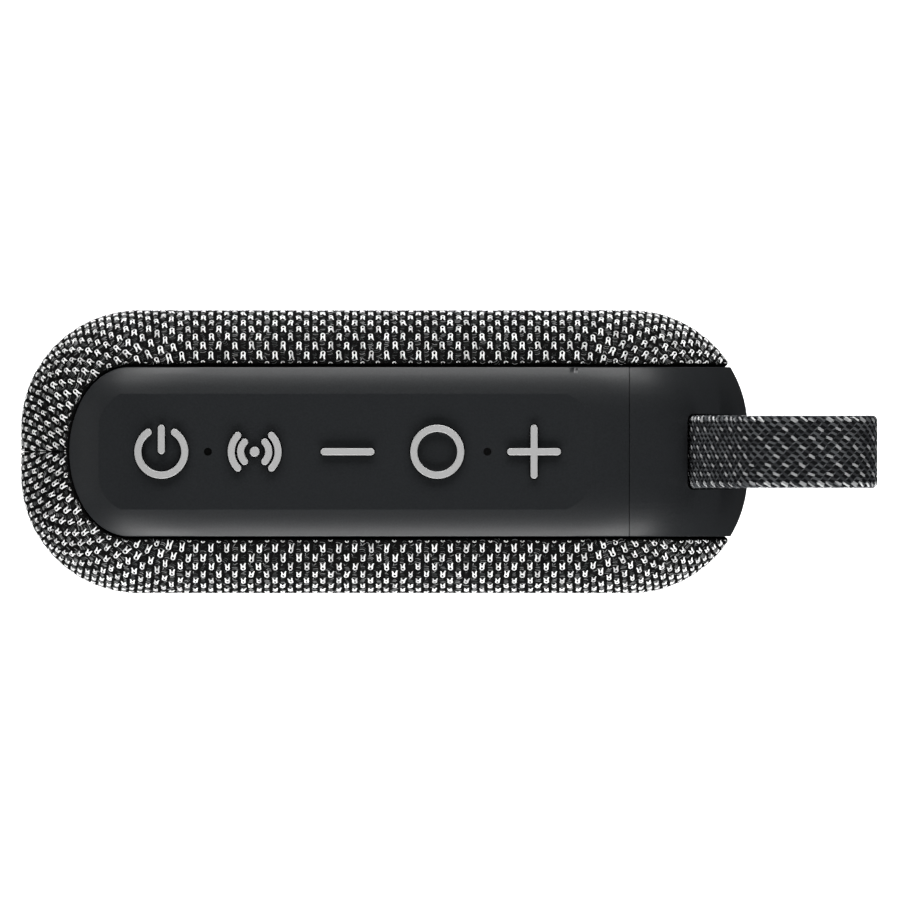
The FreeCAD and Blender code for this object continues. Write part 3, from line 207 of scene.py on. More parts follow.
def cover_point(u, v, lift, side):
    """Places points of the unrolled cloth (u, v) on the body, raised by lift. side is -1 front, 1 rear."""
    away, nx, nz = unroll(u, v)
    base_x = u - nx * away
    base_z = v - nz * away
    turn = np.minimum(away / EDGE_RADIUS, math.pi / 2)
    straight = np.maximum(away - QUARTER_ARC, 0)
    out = EDGE_RADIUS * np.sin(turn) + lift * np.sin(turn)
    deep = SIDE_FLAT + EDGE_RADIUS * np.cos(turn) + lift * np.cos(turn) - straight
    x = base_x + nx * out
    z = base_z + nz * out + CENTRE_Z
    return np.stack([x, side * deep, z], axis=-1)


def ellipse_distance(along, across, length, width):
    """Rough distance outside an ellipse, to first order."""
    level = np.sqrt((along / length) ** 2 + (across / width) ** 2) + 1e-9
    slope = np.hypot(along / length ** 2, across / width ** 2) / level
    return (level - 1) / np.maximum(slope, 1e-6)


def band_distance(points):
    """Distance of points outside the band's opening; negative inside it."""
    x = points[..., 0]
    y = np.abs(points[..., 1])
    z = points[..., 2]
    half = BAND_HALF_WIDTH + BAND_GAP
    length = BAND_TIP_LENGTH + BAND_GAP
    left = BAND_TIP_LENGTH + BAND_TIP_INSET - HALF_LENGTH
    bottom = FOOT_HEIGHT + BAND_TIP_INSET + BAND_TIP_LENGTH
    flank = y - half
    over_top = np.where(x > left, flank, ellipse_distance(x - left, y, length, half))
    down_side = np.where(z > bottom, flank, ellipse_distance(z - bottom, y, length, half))
    distance = np.where(z > ARC_TOP_Z, over_top, NO_EDGE_NEAR)
    beside_cap = (x > ARC_X) & (z <= ARC_TOP_Z + CORNER_RADIUS)
    return np.where(beside_cap, np.minimum(down_side, distance), distance)


def foot_distance(points):
    """Distance outside the foot pad's outline, underneath."""
    reach = (FOOT_LENGTH - FOOT_WIDTH) / 2
    past = np.maximum(np.abs(points[..., 0]) - reach, 0)
    distance = np.hypot(past, points[..., 1]) - FOOT_WIDTH / 2 - FOOT_GAP
    return np.where(points[..., 2] < CENTRE_Z / 2, distance, NO_EDGE_NEAR)


def edge_distance(points):
    """Distance to the nearest edge of a cover."""
    seam = 2 * np.abs(points[..., 1]) - SEAM_GAP
    return np.minimum(np.minimum(band_distance(points), foot_distance(points)), seam)


def tuck(distance):
    """How deep the cloth has turned down at a distance from its edge."""
    left = np.clip(TUCK_RADIUS - distance, 0, TUCK_RADIUS)
    return TUCK_RADIUS - np.sqrt(TUCK_RADIUS ** 2 - left ** 2)


def face_outline():
    """Points round the flat face with their outward normals, closer together where an edge turns."""
    inner_x = FACE_X - FACE_CORNER
    inner_z = FACE_Z - FACE_CORNER
    points = []
    for quarter in range(4):
        sign_x = (1, -1, -1, 1)[quarter]
        sign_z = (1, 1, -1, -1)[quarter]
        angles = np.linspace(0, math.pi / 2, CORNER_STEPS, endpoint=False) + quarter * math.pi / 2
        for angle in angles:
            nx = math.cos(angle)
            nz = math.sin(angle)
            x = sign_x * inner_x + FACE_CORNER * nx
            z = sign_z * inner_z + FACE_CORNER * nz
            points.append((x, z, nx, nz))
        length = 2 * (inner_x if quarter % 2 == 0 else inner_z)
        nx = round(math.cos(angles[0] + math.pi / 2))
        nz = round(math.sin(angles[0] + math.pi / 2))
        for share in np.linspace(0, 1, int(length / OUTLINE_STEP), endpoint=False):
            along = length * share
            x = sign_x * inner_x + FACE_CORNER * nx - nz * along
            z = sign_z * inner_z + FACE_CORNER * nz + nx * along
            points.append((x, z, nx, nz))
    return np.array(points)


def cover_reach(outline, side):
    """How far along each line from the flat face the cloth reaches before an edge."""
    low = np.zeros(len(outline))
    high = np.full(len(outline), QUARTER_ARC + SIDE_FLAT)
    for _ in range(REACH_HALVINGS):
        middle = (low + high) / 2
        u = outline[:, 0] + outline[:, 2] * middle
        v = outline[:, 1] + outline[:, 3] * middle
        clear = edge_distance(cover_point(u, v, 0, side)) > 0
        low = np.where(clear, middle, low)
        high = np.where(clear, high, middle)
    return low


def cover_mesh(name, side, material):
    """A closed knitted shell: outer face, turned-down edge, and inner face."""
    outline = face_outline()
    reach = cover_reach(outline, side) - TUCK_RADIUS
    bend = TUCK_RADIUS * np.sin(np.linspace(0, math.pi / 2, BEND_COLUMNS))
    columns = np.linspace(0, 1, SKIN_COLUMNS, endpoint=False)
    away = np.concatenate([columns * reach[:, None], reach[:, None] + bend], axis=1)
    u = outline[:, :1] + outline[:, 2:3] * away
    v = outline[:, 1:2] + outline[:, 3:] * away
    skin = cover_point(u, v, np.zeros_like(u), side)
    depth = tuck(np.maximum(edge_distance(skin), 0))
    outer = cover_point(u, v, -depth, side)
    back = np.linspace(u.shape[1] - 1, 0, LINING_COLUMNS).astype(int)
    lining = np.full((len(outline), LINING_COLUMNS), -FABRIC_DEPTH)
    inner = cover_point(u[:, back], v[:, back], lining, side)
    ring = np.concatenate([outer, inner], axis=1)
    rows, around = ring.shape[:2]
    points = [ring.reshape(-1, 3)]
    faces = grid_faces(rows, around, closed_rows=True)
    count = rows * around
    for lift, first in ((0.0, 0), (-FABRIC_DEPTH, around - 1)):
        order = 1 if first == 0 else -1
        previous = [row * around + first for row in range(rows)]
        for shrink in np.linspace(1, 0, FACE_RINGS)[1:-1]:
            u = outline[:, 0] * shrink
            v = outline[:, 1] * shrink
            points.append(cover_point(u, v, np.full(rows, lift), side))
            current = list(range(count, count + rows))
            for row in range(rows):
                after = (row + 1) % rows
                quad = (previous[row], previous[after], current[after], current[row])
                faces.append(quad[::order])
            previous = current
            count += rows
        points.append(cover_point(np.zeros(1), np.zeros(1), np.full(1, lift), side))
        for row in range(rows):
            fan = (previous[row], previous[(row + 1) % rows], count)
            faces.append(fan[::order])
        count += 1
    if side > 0:
        faces = [face[::-1] for face in faces]
    return make_piece(name, np.concatenate(points), faces, "case", [material])


# ---- Yarn ---------------------------------------------------------------------------------------
def ribbon_template(line, half_width, height):
    """A strand along (a, b) points: its edges low and its ridge high, as points and quads."""
    line = np.array(line)
    tangent = np.gradient(line, axis=0)
    tangent /= np.linalg.norm(tangent, axis=1)[:, None]
    normal = np.stack([-tangent[:, 1], tangent[:, 0]], axis=1)
    widths = np.asarray(half_width) * np.ones(len(line))
    arch = np.ones(len(line))
    arch[0] = arch[-1] = STRAND_END_HEIGHT
    points = []
    for share, level in STRAND_SECTION:
        flat = line + normal * (widths * share)[:, None]
        lift = height * level * arch - STRAND_SINK
        points.append(np.concatenate([flat, lift[:, None]], axis=1))
    points = np.stack(points, axis=1).reshape(-1, 3)
    return points, np.array(grid_faces(len(line), len(STRAND_SECTION)))


def join_templates(templates):
    """Several strands as one set of points and quads."""
    points = []
    faces = []
    count = 0
    for part, quads in templates:
        points.append(part)
        faces.append(quads + count)
        count += len(part)
    return np.concatenate(points), np.concatenate(faces)


def stitch_template():
    """One light stitch: a looped head below, and two unequal legs that reach towards the panel."""
    right = [(0.1, -0.66), (0.26, -0.44), (0.22, -0.1), (0.2, 0.36), (0.35, 0.94)]
    left = [(-0.1, -0.64), (-0.27, -0.42), (-0.22, -0.08), (-0.2, 0.36), (-0.32, 0.8)]
    head = [(-0.27, -0.5), (-0.14, -0.62), (0.0, -0.66), (0.14, -0.62), (0.27, -0.5)]
    bar = [(-0.2, 0.14), (-0.1, 0.1), (0.0, 0.07), (0.1, 0.12), (0.2, 0.15)]
    return join_templates([
        ribbon_template(right, [0.08, 0.1, 0.135, 0.145, 0.1], STITCH_HEIGHT),
        ribbon_template(left, [0.08, 0.095, 0.12, 0.125, 0.09], STITCH_HEIGHT),
        ribbon_template(head, 0.085, STITCH_HEIGHT * 0.9),
        ribbon_template(bar, 0.14, STITCH_HEIGHT * 0.9),
    ])


def fleck_template():
    """The dark ground between stitches: short arched strands, one above the other, over a slanting pair."""
    strands = [
        [(-0.36, -0.86), (-0.2, -0.78), (0.0, -0.78), (0.15, -0.86), (0.3, -0.98)],
        [(-0.3, -0.52), (-0.12, -0.42), (0.05, -0.4), (0.2, -0.47), (0.36, -0.62)],
        [(-0.36, -0.16), (-0.18, -0.06), (0.0, -0.05), (0.16, -0.12), (0.28, -0.26)],
        [(-0.3, 0.2), (-0.1, 0.26), (0.08, 0.24), (0.22, 0.14), (0.36, 0.0)],
        [(-0.3, 0.42), (-0.22, 0.52), (-0.18, 0.64), (-0.2, 0.78), (-0.26, 0.9)],
        [(-0.12, 0.46), (0.0, 0.56), (0.08, 0.66), (0.18, 0.76), (0.3, 0.84)],
    ]
    return join_templates([ribbon_template(strand, 0.06, FLECK_HEIGHT) for strand in strands])


def cloth_to_body(u, v):
    """Shifts points of the relaxed cloth to where the stretched cloth carries them round the corners."""
    inner_x = FACE_X - FACE_CORNER
    inner_z = FACE_Z - FACE_CORNER
    past_x = np.abs(u) - inner_x
    past_z = np.abs(v) - inner_z
    corner = (past_x > 0) & (past_z > 0)
    reach = np.hypot(past_x, past_z)
    share = np.clip(np.arctan2(past_x, past_z) / (math.pi / 2), 0, 1)
    away = np.maximum(reach - FACE_CORNER, 0)
    gathered = away - GATHER_SHARE * np.maximum(away - GATHER_START, 0) * np.sin(math.pi * share) ** 2
    weight = np.clip((away - TURN_START) / TURN_RUN, 0, 1)
    bulge = np.sin(math.pi * share ** TURN_SKEW)
    angle = share * math.pi / 2 - CORNER_TURN * weight * bulge
    reach = np.where(away > 0, FACE_CORNER + gathered, reach)
    shifted_u = np.sign(u) * (inner_x + reach * np.sin(angle))
    shifted_v = np.sign(v) * (inner_z + reach * np.cos(angle))
    return np.where(corner, shifted_u, u), np.where(corner, shifted_v, v)


def stitch_frames(centres, side):
    """Where each stitch sits on a cover: its point, its two directions in the cloth, and its normal."""
    def at(u, v):
        body_u, body_v = cloth_to_body(u, v)
        return cover_point(body_u, body_v, np.zeros_like(u), side)

    u = centres[:, 0]
    v = centres[:, 1]
    along = at(u, v + FRAME_STEP) - at(u, v - FRAME_STEP)
    along /= np.linalg.norm(along, axis=1)[:, None] + 1e-9
    across = at(u + FRAME_STEP, v) - at(u - FRAME_STEP, v)
    normal = np.cross(across, along)
    normal /= np.linalg.norm(normal, axis=1)[:, None] + 1e-9
    across = np.cross(along, normal)
    return at(u, v), across, along, normal * -side


def scatter(template, centres, scales, turns, side, margin):
    """Copies of a template over a cover: cut off at its openings, drawn in at the seam between covers."""
    shape, quads = template
    point, across, along, normal = stitch_frames(centres, side)
    cos = np.cos(turns)[:, None]
    sin = np.sin(turns)[:, None]
    a = shape[None, :, 0] * scales[:, None, 0]
    b = shape[None, :, 1] * scales[:, None, 1]
    right = a * cos - b * sin
    ahead = a * sin + b * cos
    sag = (right ** 2 + ahead ** 2) / SAG_LENGTH
    points = point[:, None] + right[..., None] * across[:, None] + ahead[..., None] * along[:, None]
    past_seam = points[..., 1] * side < SEAM_EDGE
    points[..., 1] = np.where(past_seam, side * SEAM_EDGE, points[..., 1])
    opening = np.minimum(band_distance(points), foot_distance(points))
    lift = shape[None, :, 2] - sag - tuck(np.maximum(edge_distance(points), 0))
    points = points + lift[..., None] * normal[:, None]
    count = shape.shape[0]
    inside = (opening > margin)[:, quads].all(axis=2) & ~past_seam[:, quads].all(axis=2)
    faces = (quads[None] + (np.arange(len(points)) * count)[:, None, None])[inside]
    copy_of_face, quad_of_face = np.nonzero(inside)
    strand_of_face = copy_of_face * (len(quads) // STRAND_QUADS) + quad_of_face // STRAND_QUADS
    used, faces = np.unique(faces, return_inverse=True)
    return points.reshape(-1, 3)[used], faces.reshape(-1, 4).tolist(), strand_of_face


def knit_places():
    """Centres of the staggered stitches over all of the relaxed cloth."""
    rows = int((FACE_Z + QUARTER_ARC + SIDE_FLAT) * KNIT_SPREAD / ROW_PITCH)
    columns = int((FACE_X + QUARTER_ARC + SIDE_FLAT) * KNIT_SPREAD / STITCH_PITCH)
    centres = []
    for row in range(-rows, rows + 1):
        for column in range(-columns, columns + 1):
            shift = STITCH_START + 0.5 * STITCH_PITCH * ((row + 1) % 2)
            centres.append((column * STITCH_PITCH + shift, row * ROW_PITCH + ROW_START))
    centres = np.array(centres)
    body_u, body_v = cloth_to_body(centres[:, 0], centres[:, 1])
    away = unroll(body_u, body_v)[0]
    return centres[away < QUARTER_ARC + SIDE_FLAT + 0.5 * ROW_PITCH]


def knit_piece(name, scattered, draw, materials, shares):
    """Scattered strands as one mesh, each strand in one of a few shades."""
    points, faces, strand = scattered
    piece = make_piece(name, points, faces, "case", materials)
    shades = draw.choice(len(materials), size=strand.max() + 1, p=shares)
    piece.data.polygons.foreach_set("material_index", shades[strand].astype(np.int32))
    piece.data.update()
    return piece


def yarn_pieces(name, side, stitch_materials, fleck_materials):
    """The light stitches and the grey flecks of one cover, as two meshes; both covers are knitted alike."""
    draw = np.random.default_rng(KNIT_SEED)
    centres = knit_places()
    count = len(centres)
    places = centres + draw.normal(0, STITCH_WANDER, (count, 2))
    scales = 1 + draw.normal(0, STITCH_VARIATION, (count, 2))
    turns = draw.normal(0, STITCH_VARIATION, count)
    scattered = scatter(stitch_template(), places, scales, turns, side, STITCH_MARGIN)
    stitches = knit_piece(name + "_stitches", scattered, draw, stitch_materials, STITCH_SHARES)
    between = centres + np.array([STITCH_PITCH / 2, 0.0])
    turns = draw.normal(0, FLECK_TURN, count)
    scales = 1 + draw.normal(0, FLECK_VARIATION, (count, 2))
    scattered = scatter(fleck_template(), between, scales, turns, side, FLECK_MARGIN)
    flecks = knit_piece(name + "_flecks", scattered, draw, fleck_materials, FLECK_SHARES)
    if side < 0:
        for piece in (stitches, flecks):
            piece.data.flip_normals()
    return [stitches, flecks]


# ---- Carry loop ---------------------------------------------------------------------------------
def corner_point(t, w):
    """A point (x, z), t outward from the corner's arc centre along the loop's middle line, and w across."""
    lean = math.radians(LOOP_ANGLE)
    x = ARC_X + t * math.cos(lean) - w * math.sin(lean)
    z = ARC_TOP_Z + t * math.sin(lean) + w * math.cos(lean)
    return np.array([x, z])


def loop_line(step):
    """The loop's outer line as points and outward normals, evenly spaced by arc length."""
    corners = [corner_point(t, w) for t, w in LOOP_POINTS]
    points = []
    normals = []
    for index, corner in enumerate(corners):
        back = corners[index - 1] - corner
        ahead = corners[(index + 1) % len(corners)] - corner
        back /= np.linalg.norm(back)
        ahead /= np.linalg.norm(ahead)
        half_angle = math.acos(float(np.dot(back, ahead))) / 2
        inward = (back + ahead) / np.linalg.norm(back + ahead)
        centre = corner + inward * LOOP_RADII[index] / math.sin(half_angle)
        sweep = math.pi / 2 - half_angle
        middle = math.atan2(-inward[1], -inward[0])
        for share in np.linspace(1, -1, LOOP_ARC_POINTS):
            angle = middle + sweep * share
            normal = np.array([math.cos(angle), math.sin(angle)])
            points.append(centre + LOOP_RADII[index] * normal)
            normals.append(normal)
    points.append(points[0])
    normals.append(normals[0])
    points = np.array(points)
    normals = np.array(normals)
    lengths = np.concatenate([[0], np.cumsum(np.linalg.norm(np.diff(points, axis=0), axis=1))])
    count = int(round(lengths[-1] / step))
    at = np.linspace(0, lengths[-1], count, endpoint=False)
    line = np.stack([np.interp(at, lengths, points[:, axis]) for axis in (0, 1)], axis=1)
    normal = np.stack([np.interp(at, lengths, normals[:, axis]) for axis in (0, 1)], axis=1)
    normal /= np.linalg.norm(normal, axis=1)[:, None]
    return line, normal, lengths[-1]


LINE, LINE_NORMAL, LOOP_LENGTH = loop_line(LINE_STEP)
WEBBING_FLAT = WEBBING_WIDTH / 2 - WEBBING_THICKNESS / 2
WEBBING_ROUND = WEBBING_THICKNESS / 2 - WEBBING_INSET
WEBBING_GIRTH = 4 * WEBBING_FLAT + 2 * math.pi * WEBBING_ROUND


def strap_point(s, q, lift):
    """Places points on the webbing: s along it, q round its section from the middle of its outer face."""
    at = np.mod(s, LOOP_LENGTH) / LOOP_LENGTH * len(LINE)
    index = np.floor(at).astype(int) % len(LINE)
    share = (at - np.floor(at))[..., None]
    after = (index + 1) % len(LINE)
    base = LINE[index] * (1 - share) + LINE[after] * share
    normal = LINE_NORMAL[index] * (1 - share) + LINE_NORMAL[after] * share
    q = np.mod(q + WEBBING_GIRTH / 2, WEBBING_GIRTH) - WEBBING_GIRTH / 2
    turn = np.clip((np.abs(q) - WEBBING_FLAT) / WEBBING_ROUND, 0, math.pi)
    past = np.maximum(np.abs(q) - WEBBING_FLAT - math.pi * WEBBING_ROUND, 0)
    flat = np.minimum(np.abs(q), WEBBING_FLAT) - past
    w = np.sign(q) * (flat + (WEBBING_ROUND + lift) * np.sin(turn))
    depth = -WEBBING_THICKNESS / 2 + (WEBBING_ROUND + lift) * np.cos(turn)
    place = base + normal * depth[..., None]
    return np.stack([place[..., 0], w, place[..., 1]], axis=-1)


def strap_mesh(material):
    """The webbing's body under its weave."""
    rows = int(LOOP_LENGTH / STRAP_STEP)
    s = np.linspace(0, LOOP_LENGTH, rows, endpoint=False)
    q = np.linspace(0, WEBBING_GIRTH, STRAP_COLUMNS, endpoint=False)
    grid_s, grid_q = np.meshgrid(s, q, indexing="ij")
    points = strap_point(grid_s, grid_q, np.zeros_like(grid_s)).reshape(-1, 3)
    faces = grid_faces(rows, STRAP_COLUMNS, closed_rows=True, closed_columns=True)
    return make_piece("loop_webbing", points, faces, "carry_loop", [material])


def weave_piece(name, template, s, q, draw, shades, shares, wobble=0.04, spread=0.08):
    """Copies of one strand over the webbing, each a little different, in a few shades."""
    shape, quads = template
    count = len(s)
    turns = draw.normal(0, WEAVE_TURN, count)[:, None]
    scales = 1 + draw.normal(0, spread, (count, 2))
    a = shape[None, :, 0] * scales[:, :1]
    b = shape[None, :, 1] * scales[:, 1:]
    along = (s + draw.normal(0, wobble, count))[:, None] + a * np.cos(turns) - b * np.sin(turns)
    around = (q + draw.normal(0, wobble / 2, count))[:, None] + a * np.sin(turns) + b * np.cos(turns)
    points = strap_point(along, around, np.broadcast_to(shape[None, :, 2], along.shape)).reshape(-1, 3)
    faces = (quads[None] + (np.arange(count) * len(shape))[:, None, None]).reshape(-1, 4).tolist()
    piece = make_piece(name, points, faces, "carry_loop", shades)
    shade = np.repeat(draw.choice(len(shades), size=count, p=shares), len(quads))
    piece.data.polygons.foreach_set("material_index", shade.astype(np.int32))
    piece.data.update()


def weave_pieces(dark, mid, light, bright):
    """The webbing's weave: slanting light floats, grey strands between them, and corded selvedges."""
    draw = np.random.default_rng(WEAVE_SEED)
    columns = 2 * int(round(LOOP_LENGTH / WEAVE_PITCH / 2))
    rows = 2 * int(round(WEBBING_GIRTH / (WEAVE_PITCH / 2) / 2))
    grid = [(column, row) for column in range(columns) for row in range(rows)]
    column, row = np.array(grid).T
    s = (column + 0.5 * (row % 2)) * LOOP_LENGTH / columns
    q = (row - rows // 2) * WEBBING_GIRTH / rows
    ply = np.array([(-0.44, 0.2), (-0.15, 0.1), (0.15, -0.1), (0.44, -0.2)])
    plies = [ribbon_template(ply + np.array([0.0, offset]), 0.11, WEAVE_HEIGHT) for offset in (-0.1, 0.1)]
    float_template = join_templates(plies)
    cross_template = ribbon_template([(-0.3, -0.24), (0.0, 0.0), (0.3, 0.24)], 0.1, WEAVE_HEIGHT * 0.7)
    lit = (row % 2 == 0) & ((column + row // 2) % 2 == 0)
    weave_piece("loop_floats", float_template, s[lit], q[lit], draw, [light, mid], [0.8, 0.2])
    weave_piece("loop_strands", float_template, s[~lit], q[~lit], draw, [mid, dark], [0.45, 0.55])
    half = LOOP_LENGTH / columns / 2
    weave_piece("loop_crossings", cross_template, s + half, q, draw, [mid, dark], [0.5, 0.5])
    edge_s = np.concatenate([s[row == 0], s[row == 0]])
    edge_q = np.repeat([WEBBING_FLAT + 0.35, -WEBBING_FLAT - 0.35], columns)
    cord = ribbon_template([(-0.62, 0.42), (-0.2, 0.18), (0.2, -0.18), (0.62, -0.42)], 0.19, WEAVE_HEIGHT)
    shades = [bright, light, mid]
    shares = [0.2, 0.3, 0.5]
    weave_piece("loop_selvedge", cord, edge_s, edge_q, draw, shades, shares, wobble=0.03, spread=0.05)


# ---- Materials ----------------------------------------------------------------------------------
def new_material(name, colour, roughness, specular, metallic=0.0):
    """A material of one colour, with its node tree and shader."""
    material = bpy.data.materials.new(name)
    material.use_nodes = True
    shader = material.node_tree.nodes["Principled BSDF"]
    shader.inputs["Base Color"].default_value = (*colour, 1)
    shader.inputs["Roughness"].default_value = roughness
    shader.inputs["Specular IOR Level"].default_value = specular
    shader.inputs["Metallic"].default_value = metallic
    return material, material.node_tree, shader


def link_noise(tree, shader, scale, colours, bump, stretch=(1, 1, 1), detail=4.0):
    """Drives base colour and a fine bump from one noise pattern."""
    place = tree.nodes.new("ShaderNodeTexCoord")
    mapping = tree.nodes.new("ShaderNodeMapping")
    mapping.inputs["Scale"].default_value = stretch
    tree.links.new(place.outputs["Object"], mapping.inputs["Vector"])
    noise = tree.nodes.new("ShaderNodeTexNoise")
    noise.inputs["Scale"].default_value = scale
    noise.inputs["Detail"].default_value = detail
    tree.links.new(mapping.outputs["Vector"], noise.inputs["Vector"])
    ramp = tree.nodes.new("ShaderNodeValToRGB")
    ramp.color_ramp.elements[0].position = NOISE_RANGE[0]
    ramp.color_ramp.elements[1].position = NOISE_RANGE[1]
    ramp.color_ramp.elements[0].color = (*colours[0], 1)
    ramp.color_ramp.elements[1].color = (*colours[1], 1)
    tree.links.new(noise.outputs["Fac"], ramp.inputs["Fac"])
    tree.links.new(ramp.outputs["Color"], shader.inputs["Base Color"])
    bumps = tree.nodes.new("ShaderNodeBump")
    bumps.inputs["Strength"].default_value = bump
    bumps.inputs["Distance"].default_value = GRAIN_DEPTH
    tree.links.new(noise.outputs["Fac"], bumps.inputs["Height"])
    tree.links.new(bumps.outputs["Normal"], shader.inputs["Normal"])


def moulded(name, colour, roughness, specular, grain=4000.0, spread=0.12, bump=0.25):
    """Plastic or rubber with a fine moulded grain and a slight shade variation."""
    material, tree, shader = new_material(name, colour, roughness, specular)
    dark = tuple(channel * (1 - spread) for channel in colour)
    light = tuple(channel * (1 + spread) for channel in colour)
    link_noise(tree, shader, grain, (dark, light), bump)
    return material


def paint_contact_shade(material, reach, depth):
    """Paints shade into a moulding's colour: an ambient occlusion node darkens it softly where something
    stands on it or close beside it.
    """
    tree = material.node_tree
    shader = tree.nodes["Principled BSDF"]
    colour_link = shader.inputs["Base Color"].links[0]
    occlusion = tree.nodes.new("ShaderNodeAmbientOcclusion")
    occlusion.inputs["Distance"].default_value = reach
    amount = tree.nodes.new("ShaderNodeMapRange")
    amount.inputs["From Min"].default_value = PAINTED_SHADE_RANGE[0]
    amount.inputs["From Max"].default_value = PAINTED_SHADE_RANGE[1]
    amount.inputs["To Min"].default_value = 1 - depth
    tree.links.new(occlusion.outputs["AO"], amount.inputs["Value"])
    shade_tint = tree.nodes.new("ShaderNodeMix")
    shade_tint.data_type = "RGBA"
    shade_tint.blend_type = "MULTIPLY"
    shade_tint.inputs["Factor"].default_value = 1.0
    tree.links.new(colour_link.from_socket, shade_tint.inputs["A"])
    tree.links.new(amount.outputs["Result"], shade_tint.inputs["B"])
    tree.links.new(shade_tint.outputs["Result"], shader.inputs["Base Color"])
    return material


def metal(name, colour, roughness):
    """Bare or plated metal with faint brushing."""
    material, tree, shader = new_material(name, colour, roughness, 0.5, 1.0)
    dark = tuple(channel * 0.9 for channel in colour)
    link_noise(tree, shader, 900.0, (dark, colour), 0.1, stretch=(1, 8, 1))
    return material


def yarn(name, colour, roughness=0.75, spread=0.25):
    """Twisted polyester yarn with fine fibres."""
    material, tree, shader = new_material(name, colour, roughness, 0.05)
    dark = tuple(channel * (1 - spread) for channel in colour)
    link_noise(tree, shader, 5500.0, (dark, colour), 0.5, detail=2.0)
    return material


# ---- Build --------------------------------------------------------------------------------------
def build_covers():
    """The front and rear covers, each a stretched cloth with its yarn, in place of their CAD solids."""
    ground = yarn("knit_ground", (0.003, 0.003, 0.003), 0.9, 0.5)
    stitches = [
        yarn("stitch_white", (0.93, 0.93, 0.93), spread=0.12),
        yarn("stitch_pale", (0.6, 0.6, 0.6), spread=0.2),
    ]
    flecks = [
        yarn("fleck_black", (0.02, 0.02, 0.02)),
        yarn("fleck_dark", (0.07, 0.074, 0.074)),
        yarn("fleck_mid", (0.26, 0.264, 0.264)),
    ]
    for name, side in (("front_fabric", -1), ("rear_fabric", 1)):
        cover = cover_mesh(name.replace("_fabric", "_cover"), side, ground)
        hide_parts(name)
        knitting = yarn_pieces(name.replace("_fabric", "_cover"), side, stitches, flecks)


def build_strap():
    """The webbing of the carry loop with its weave, in place of its CAD solid."""
    ground = yarn("webbing_ground", (0.006, 0.0065, 0.0075), 0.8, 0.5)
    webbing = strap_mesh(ground)
    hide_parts("strap")
    dark = yarn("webbing_dark", (0.035, 0.037, 0.04), 0.6)
    mid = yarn("webbing_mid", (0.095, 0.1, 0.105), 0.55)
    light = yarn("webbing_light", (0.38, 0.385, 0.39), 0.5)
    bright = yarn("webbing_bright", (0.7, 0.71, 0.71), 0.5)
    weave_pieces(dark, mid, light, bright)


def paint_nodes():
    """Materials for the CAD pieces, by the record's material slots."""
    panel_rubber = moulded("panel_rubber", (0.0170, 0.0184, 0.0200), 0.34, 0.3)
    by_slot = {
        "knit": yarn("cloth_plain", (0.02, 0.02, 0.02)),
        "webbing": yarn("webbing_plain", (0.02, 0.02, 0.02)),
        # Painted shade: the panel rubber's colour is darkened round each raised symbol and beside
        # neighbouring parts.
        "panel_rubber": paint_contact_shade(panel_rubber, PAINTED_SHADE_REACH, PAINTED_SHADE_DEPTH),
        "cap_plastic": moulded("cap_plastic", (0.0182, 0.0196, 0.0213), 0.34, 0.3),
        "key_rubber": moulded("key_rubber", (0.013, 0.0142, 0.0155), 0.45, 0.28),
        "symbol_plastic": moulded("symbol_plastic", (0.415, 0.415, 0.415), 0.5, 0.4, spread=0.03),
        "cover_rubber": moulded("cover_rubber", (0.012, 0.0125, 0.0135), 0.5, 0.3),
        "foot_rubber": moulded("foot_rubber", (0.015, 0.015, 0.016), 0.8, 0.3),
        "black_plastic": moulded("black_plastic", (0.012, 0.012, 0.013), 0.5, 0.4),
        "housing_plastic": moulded("housing_plastic", (0.03, 0.03, 0.031), 0.55, 0.4),
        "seal_rubber": moulded("seal_rubber", (0.3, 0.05, 0.03), 0.6, 0.4),
        "board_green": moulded("board_green", (0.01, 0.09, 0.04), 0.35, 0.5, 1500.0),
        "chip_black": moulded("chip_black", (0.015, 0.015, 0.016), 0.4, 0.5),
        "ribbon_amber": moulded("ribbon_amber", (0.35, 0.16, 0.03), 0.4, 0.5),
        "steel": metal("steel", (0.6, 0.6, 0.61), 0.3),
        "black_steel": metal("black_steel", (0.03, 0.03, 0.032), 0.4),
        "can_aluminium": metal("can_aluminium", (0.7, 0.71, 0.72), 0.35),
        "battery_wrap": moulded("battery_wrap", (0.08, 0.17, 0.4), 0.35, 0.5),
        "copper": metal("copper", (0.75, 0.36, 0.18), 0.3),
        "magnet_grey": moulded("magnet_grey", (0.07, 0.07, 0.075), 0.6, 0.5),
        "paper_black": moulded("paper_black", (0.02, 0.02, 0.021), 0.85, 0.3, 2500.0),
        "lens": moulded("dark_lens", (0.003, 0.003, 0.003), 0.1, 0.5, spread=0.0, bump=0.0),
        "wire_black": moulded("wire_black", (0.015, 0.015, 0.015), 0.45, 0.4),
    }
    for part in frame["record"]["subparts"]:
        node = frame["nodes"][part["node"]]
        node.data.materials.clear()
        node.data.materials.append(by_slot[part["material_slot"]])


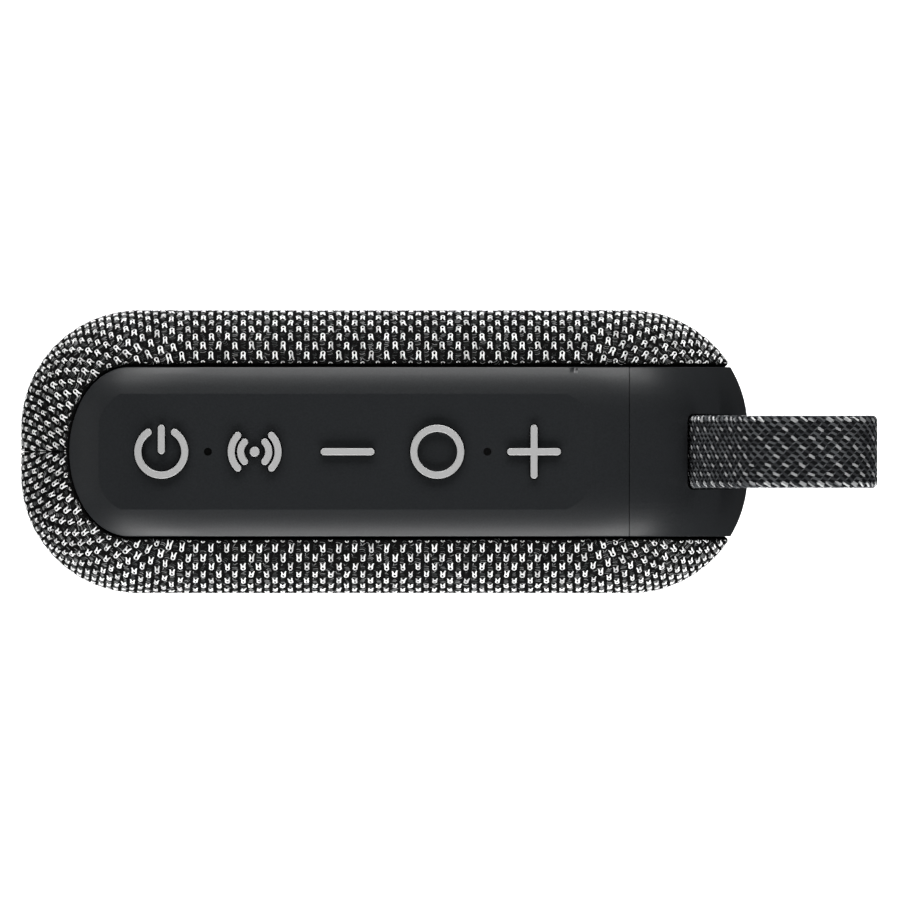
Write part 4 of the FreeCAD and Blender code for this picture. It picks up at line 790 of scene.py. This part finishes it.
def softbox(scene, name, place, size, power):
    """A soft rectangular lamp aimed at the object."""
    lamp = bpy.data.lights.new("softbox_" + name, "AREA")
    lamp.shape = "RECTANGLE"
    lamp.size = size[0]
    lamp.size_y = size[1]
    lamp.energy = power
    box = bpy.data.objects.new("softbox_" + name, lamp)
    box.location = place
    aim = LAMP_AIM - box.location
    box.rotation_euler = aim.to_track_quat("-Z", "Y").to_euler()
    scene.collection.objects.link(box)


def studio_world():
    """A faint even fill on the object, behind which the studio looks as white as its floor."""
    world = bpy.data.worlds.new("studio")
    world.use_nodes = True
    nodes = world.node_tree.nodes
    links = world.node_tree.links
    fill = nodes["Background"]
    fill.inputs["Color"].default_value = (1, 1, 1, 1)
    fill.inputs["Strength"].default_value = FILL_LIGHT
    backdrop = nodes.new("ShaderNodeBackground")
    backdrop.inputs["Color"].default_value = (1, 1, 1, 1)
    backdrop.inputs["Strength"].default_value = 1.0
    rays = nodes.new("ShaderNodeLightPath")
    chosen = nodes.new("ShaderNodeMixShader")
    links.new(rays.outputs["Is Camera Ray"], chosen.inputs["Fac"])
    links.new(fill.outputs["Background"], chosen.inputs[1])
    links.new(backdrop.outputs["Background"], chosen.inputs[2])
    links.new(chosen.outputs["Shader"], nodes["World Output"].inputs["Surface"])
    return world


def build_stage():
    """Plain pale floor, soft boxes on both long sides and at the left, and a camera straight above."""
    scene = bpy.context.scene
    bpy.ops.mesh.primitive_plane_add(size=FLOOR_SIZE, location=(0, 0, 0))
    floor = bpy.context.object
    floor.name = "floor"
    material, _, shader = new_material("floor_white", (0.9, 0.9, 0.9), 0.9, 0.2)
    shader.inputs["Emission Color"].default_value = (1, 1, 1, 1)
    shader.inputs["Emission Strength"].default_value = 1.0
    floor.data.materials.append(material)
    floor.visible_glossy = False
    floor.visible_diffuse = False
    scene.world = studio_world()
    for lamp in LAMPS:
        softbox(scene, *lamp)
    camera = bpy.data.cameras.new("camera")
    camera.type = "ORTHO"
    camera.ortho_scale = VIEW_WIDTH
    eye = bpy.data.objects.new("camera", camera)
    eye.location = CAMERA_PLACE
    scene.collection.objects.link(eye)
    scene.camera = eye
    scene.view_settings.view_transform = "Standard"


paint_nodes()
build_covers()
build_strap()
build_stage()
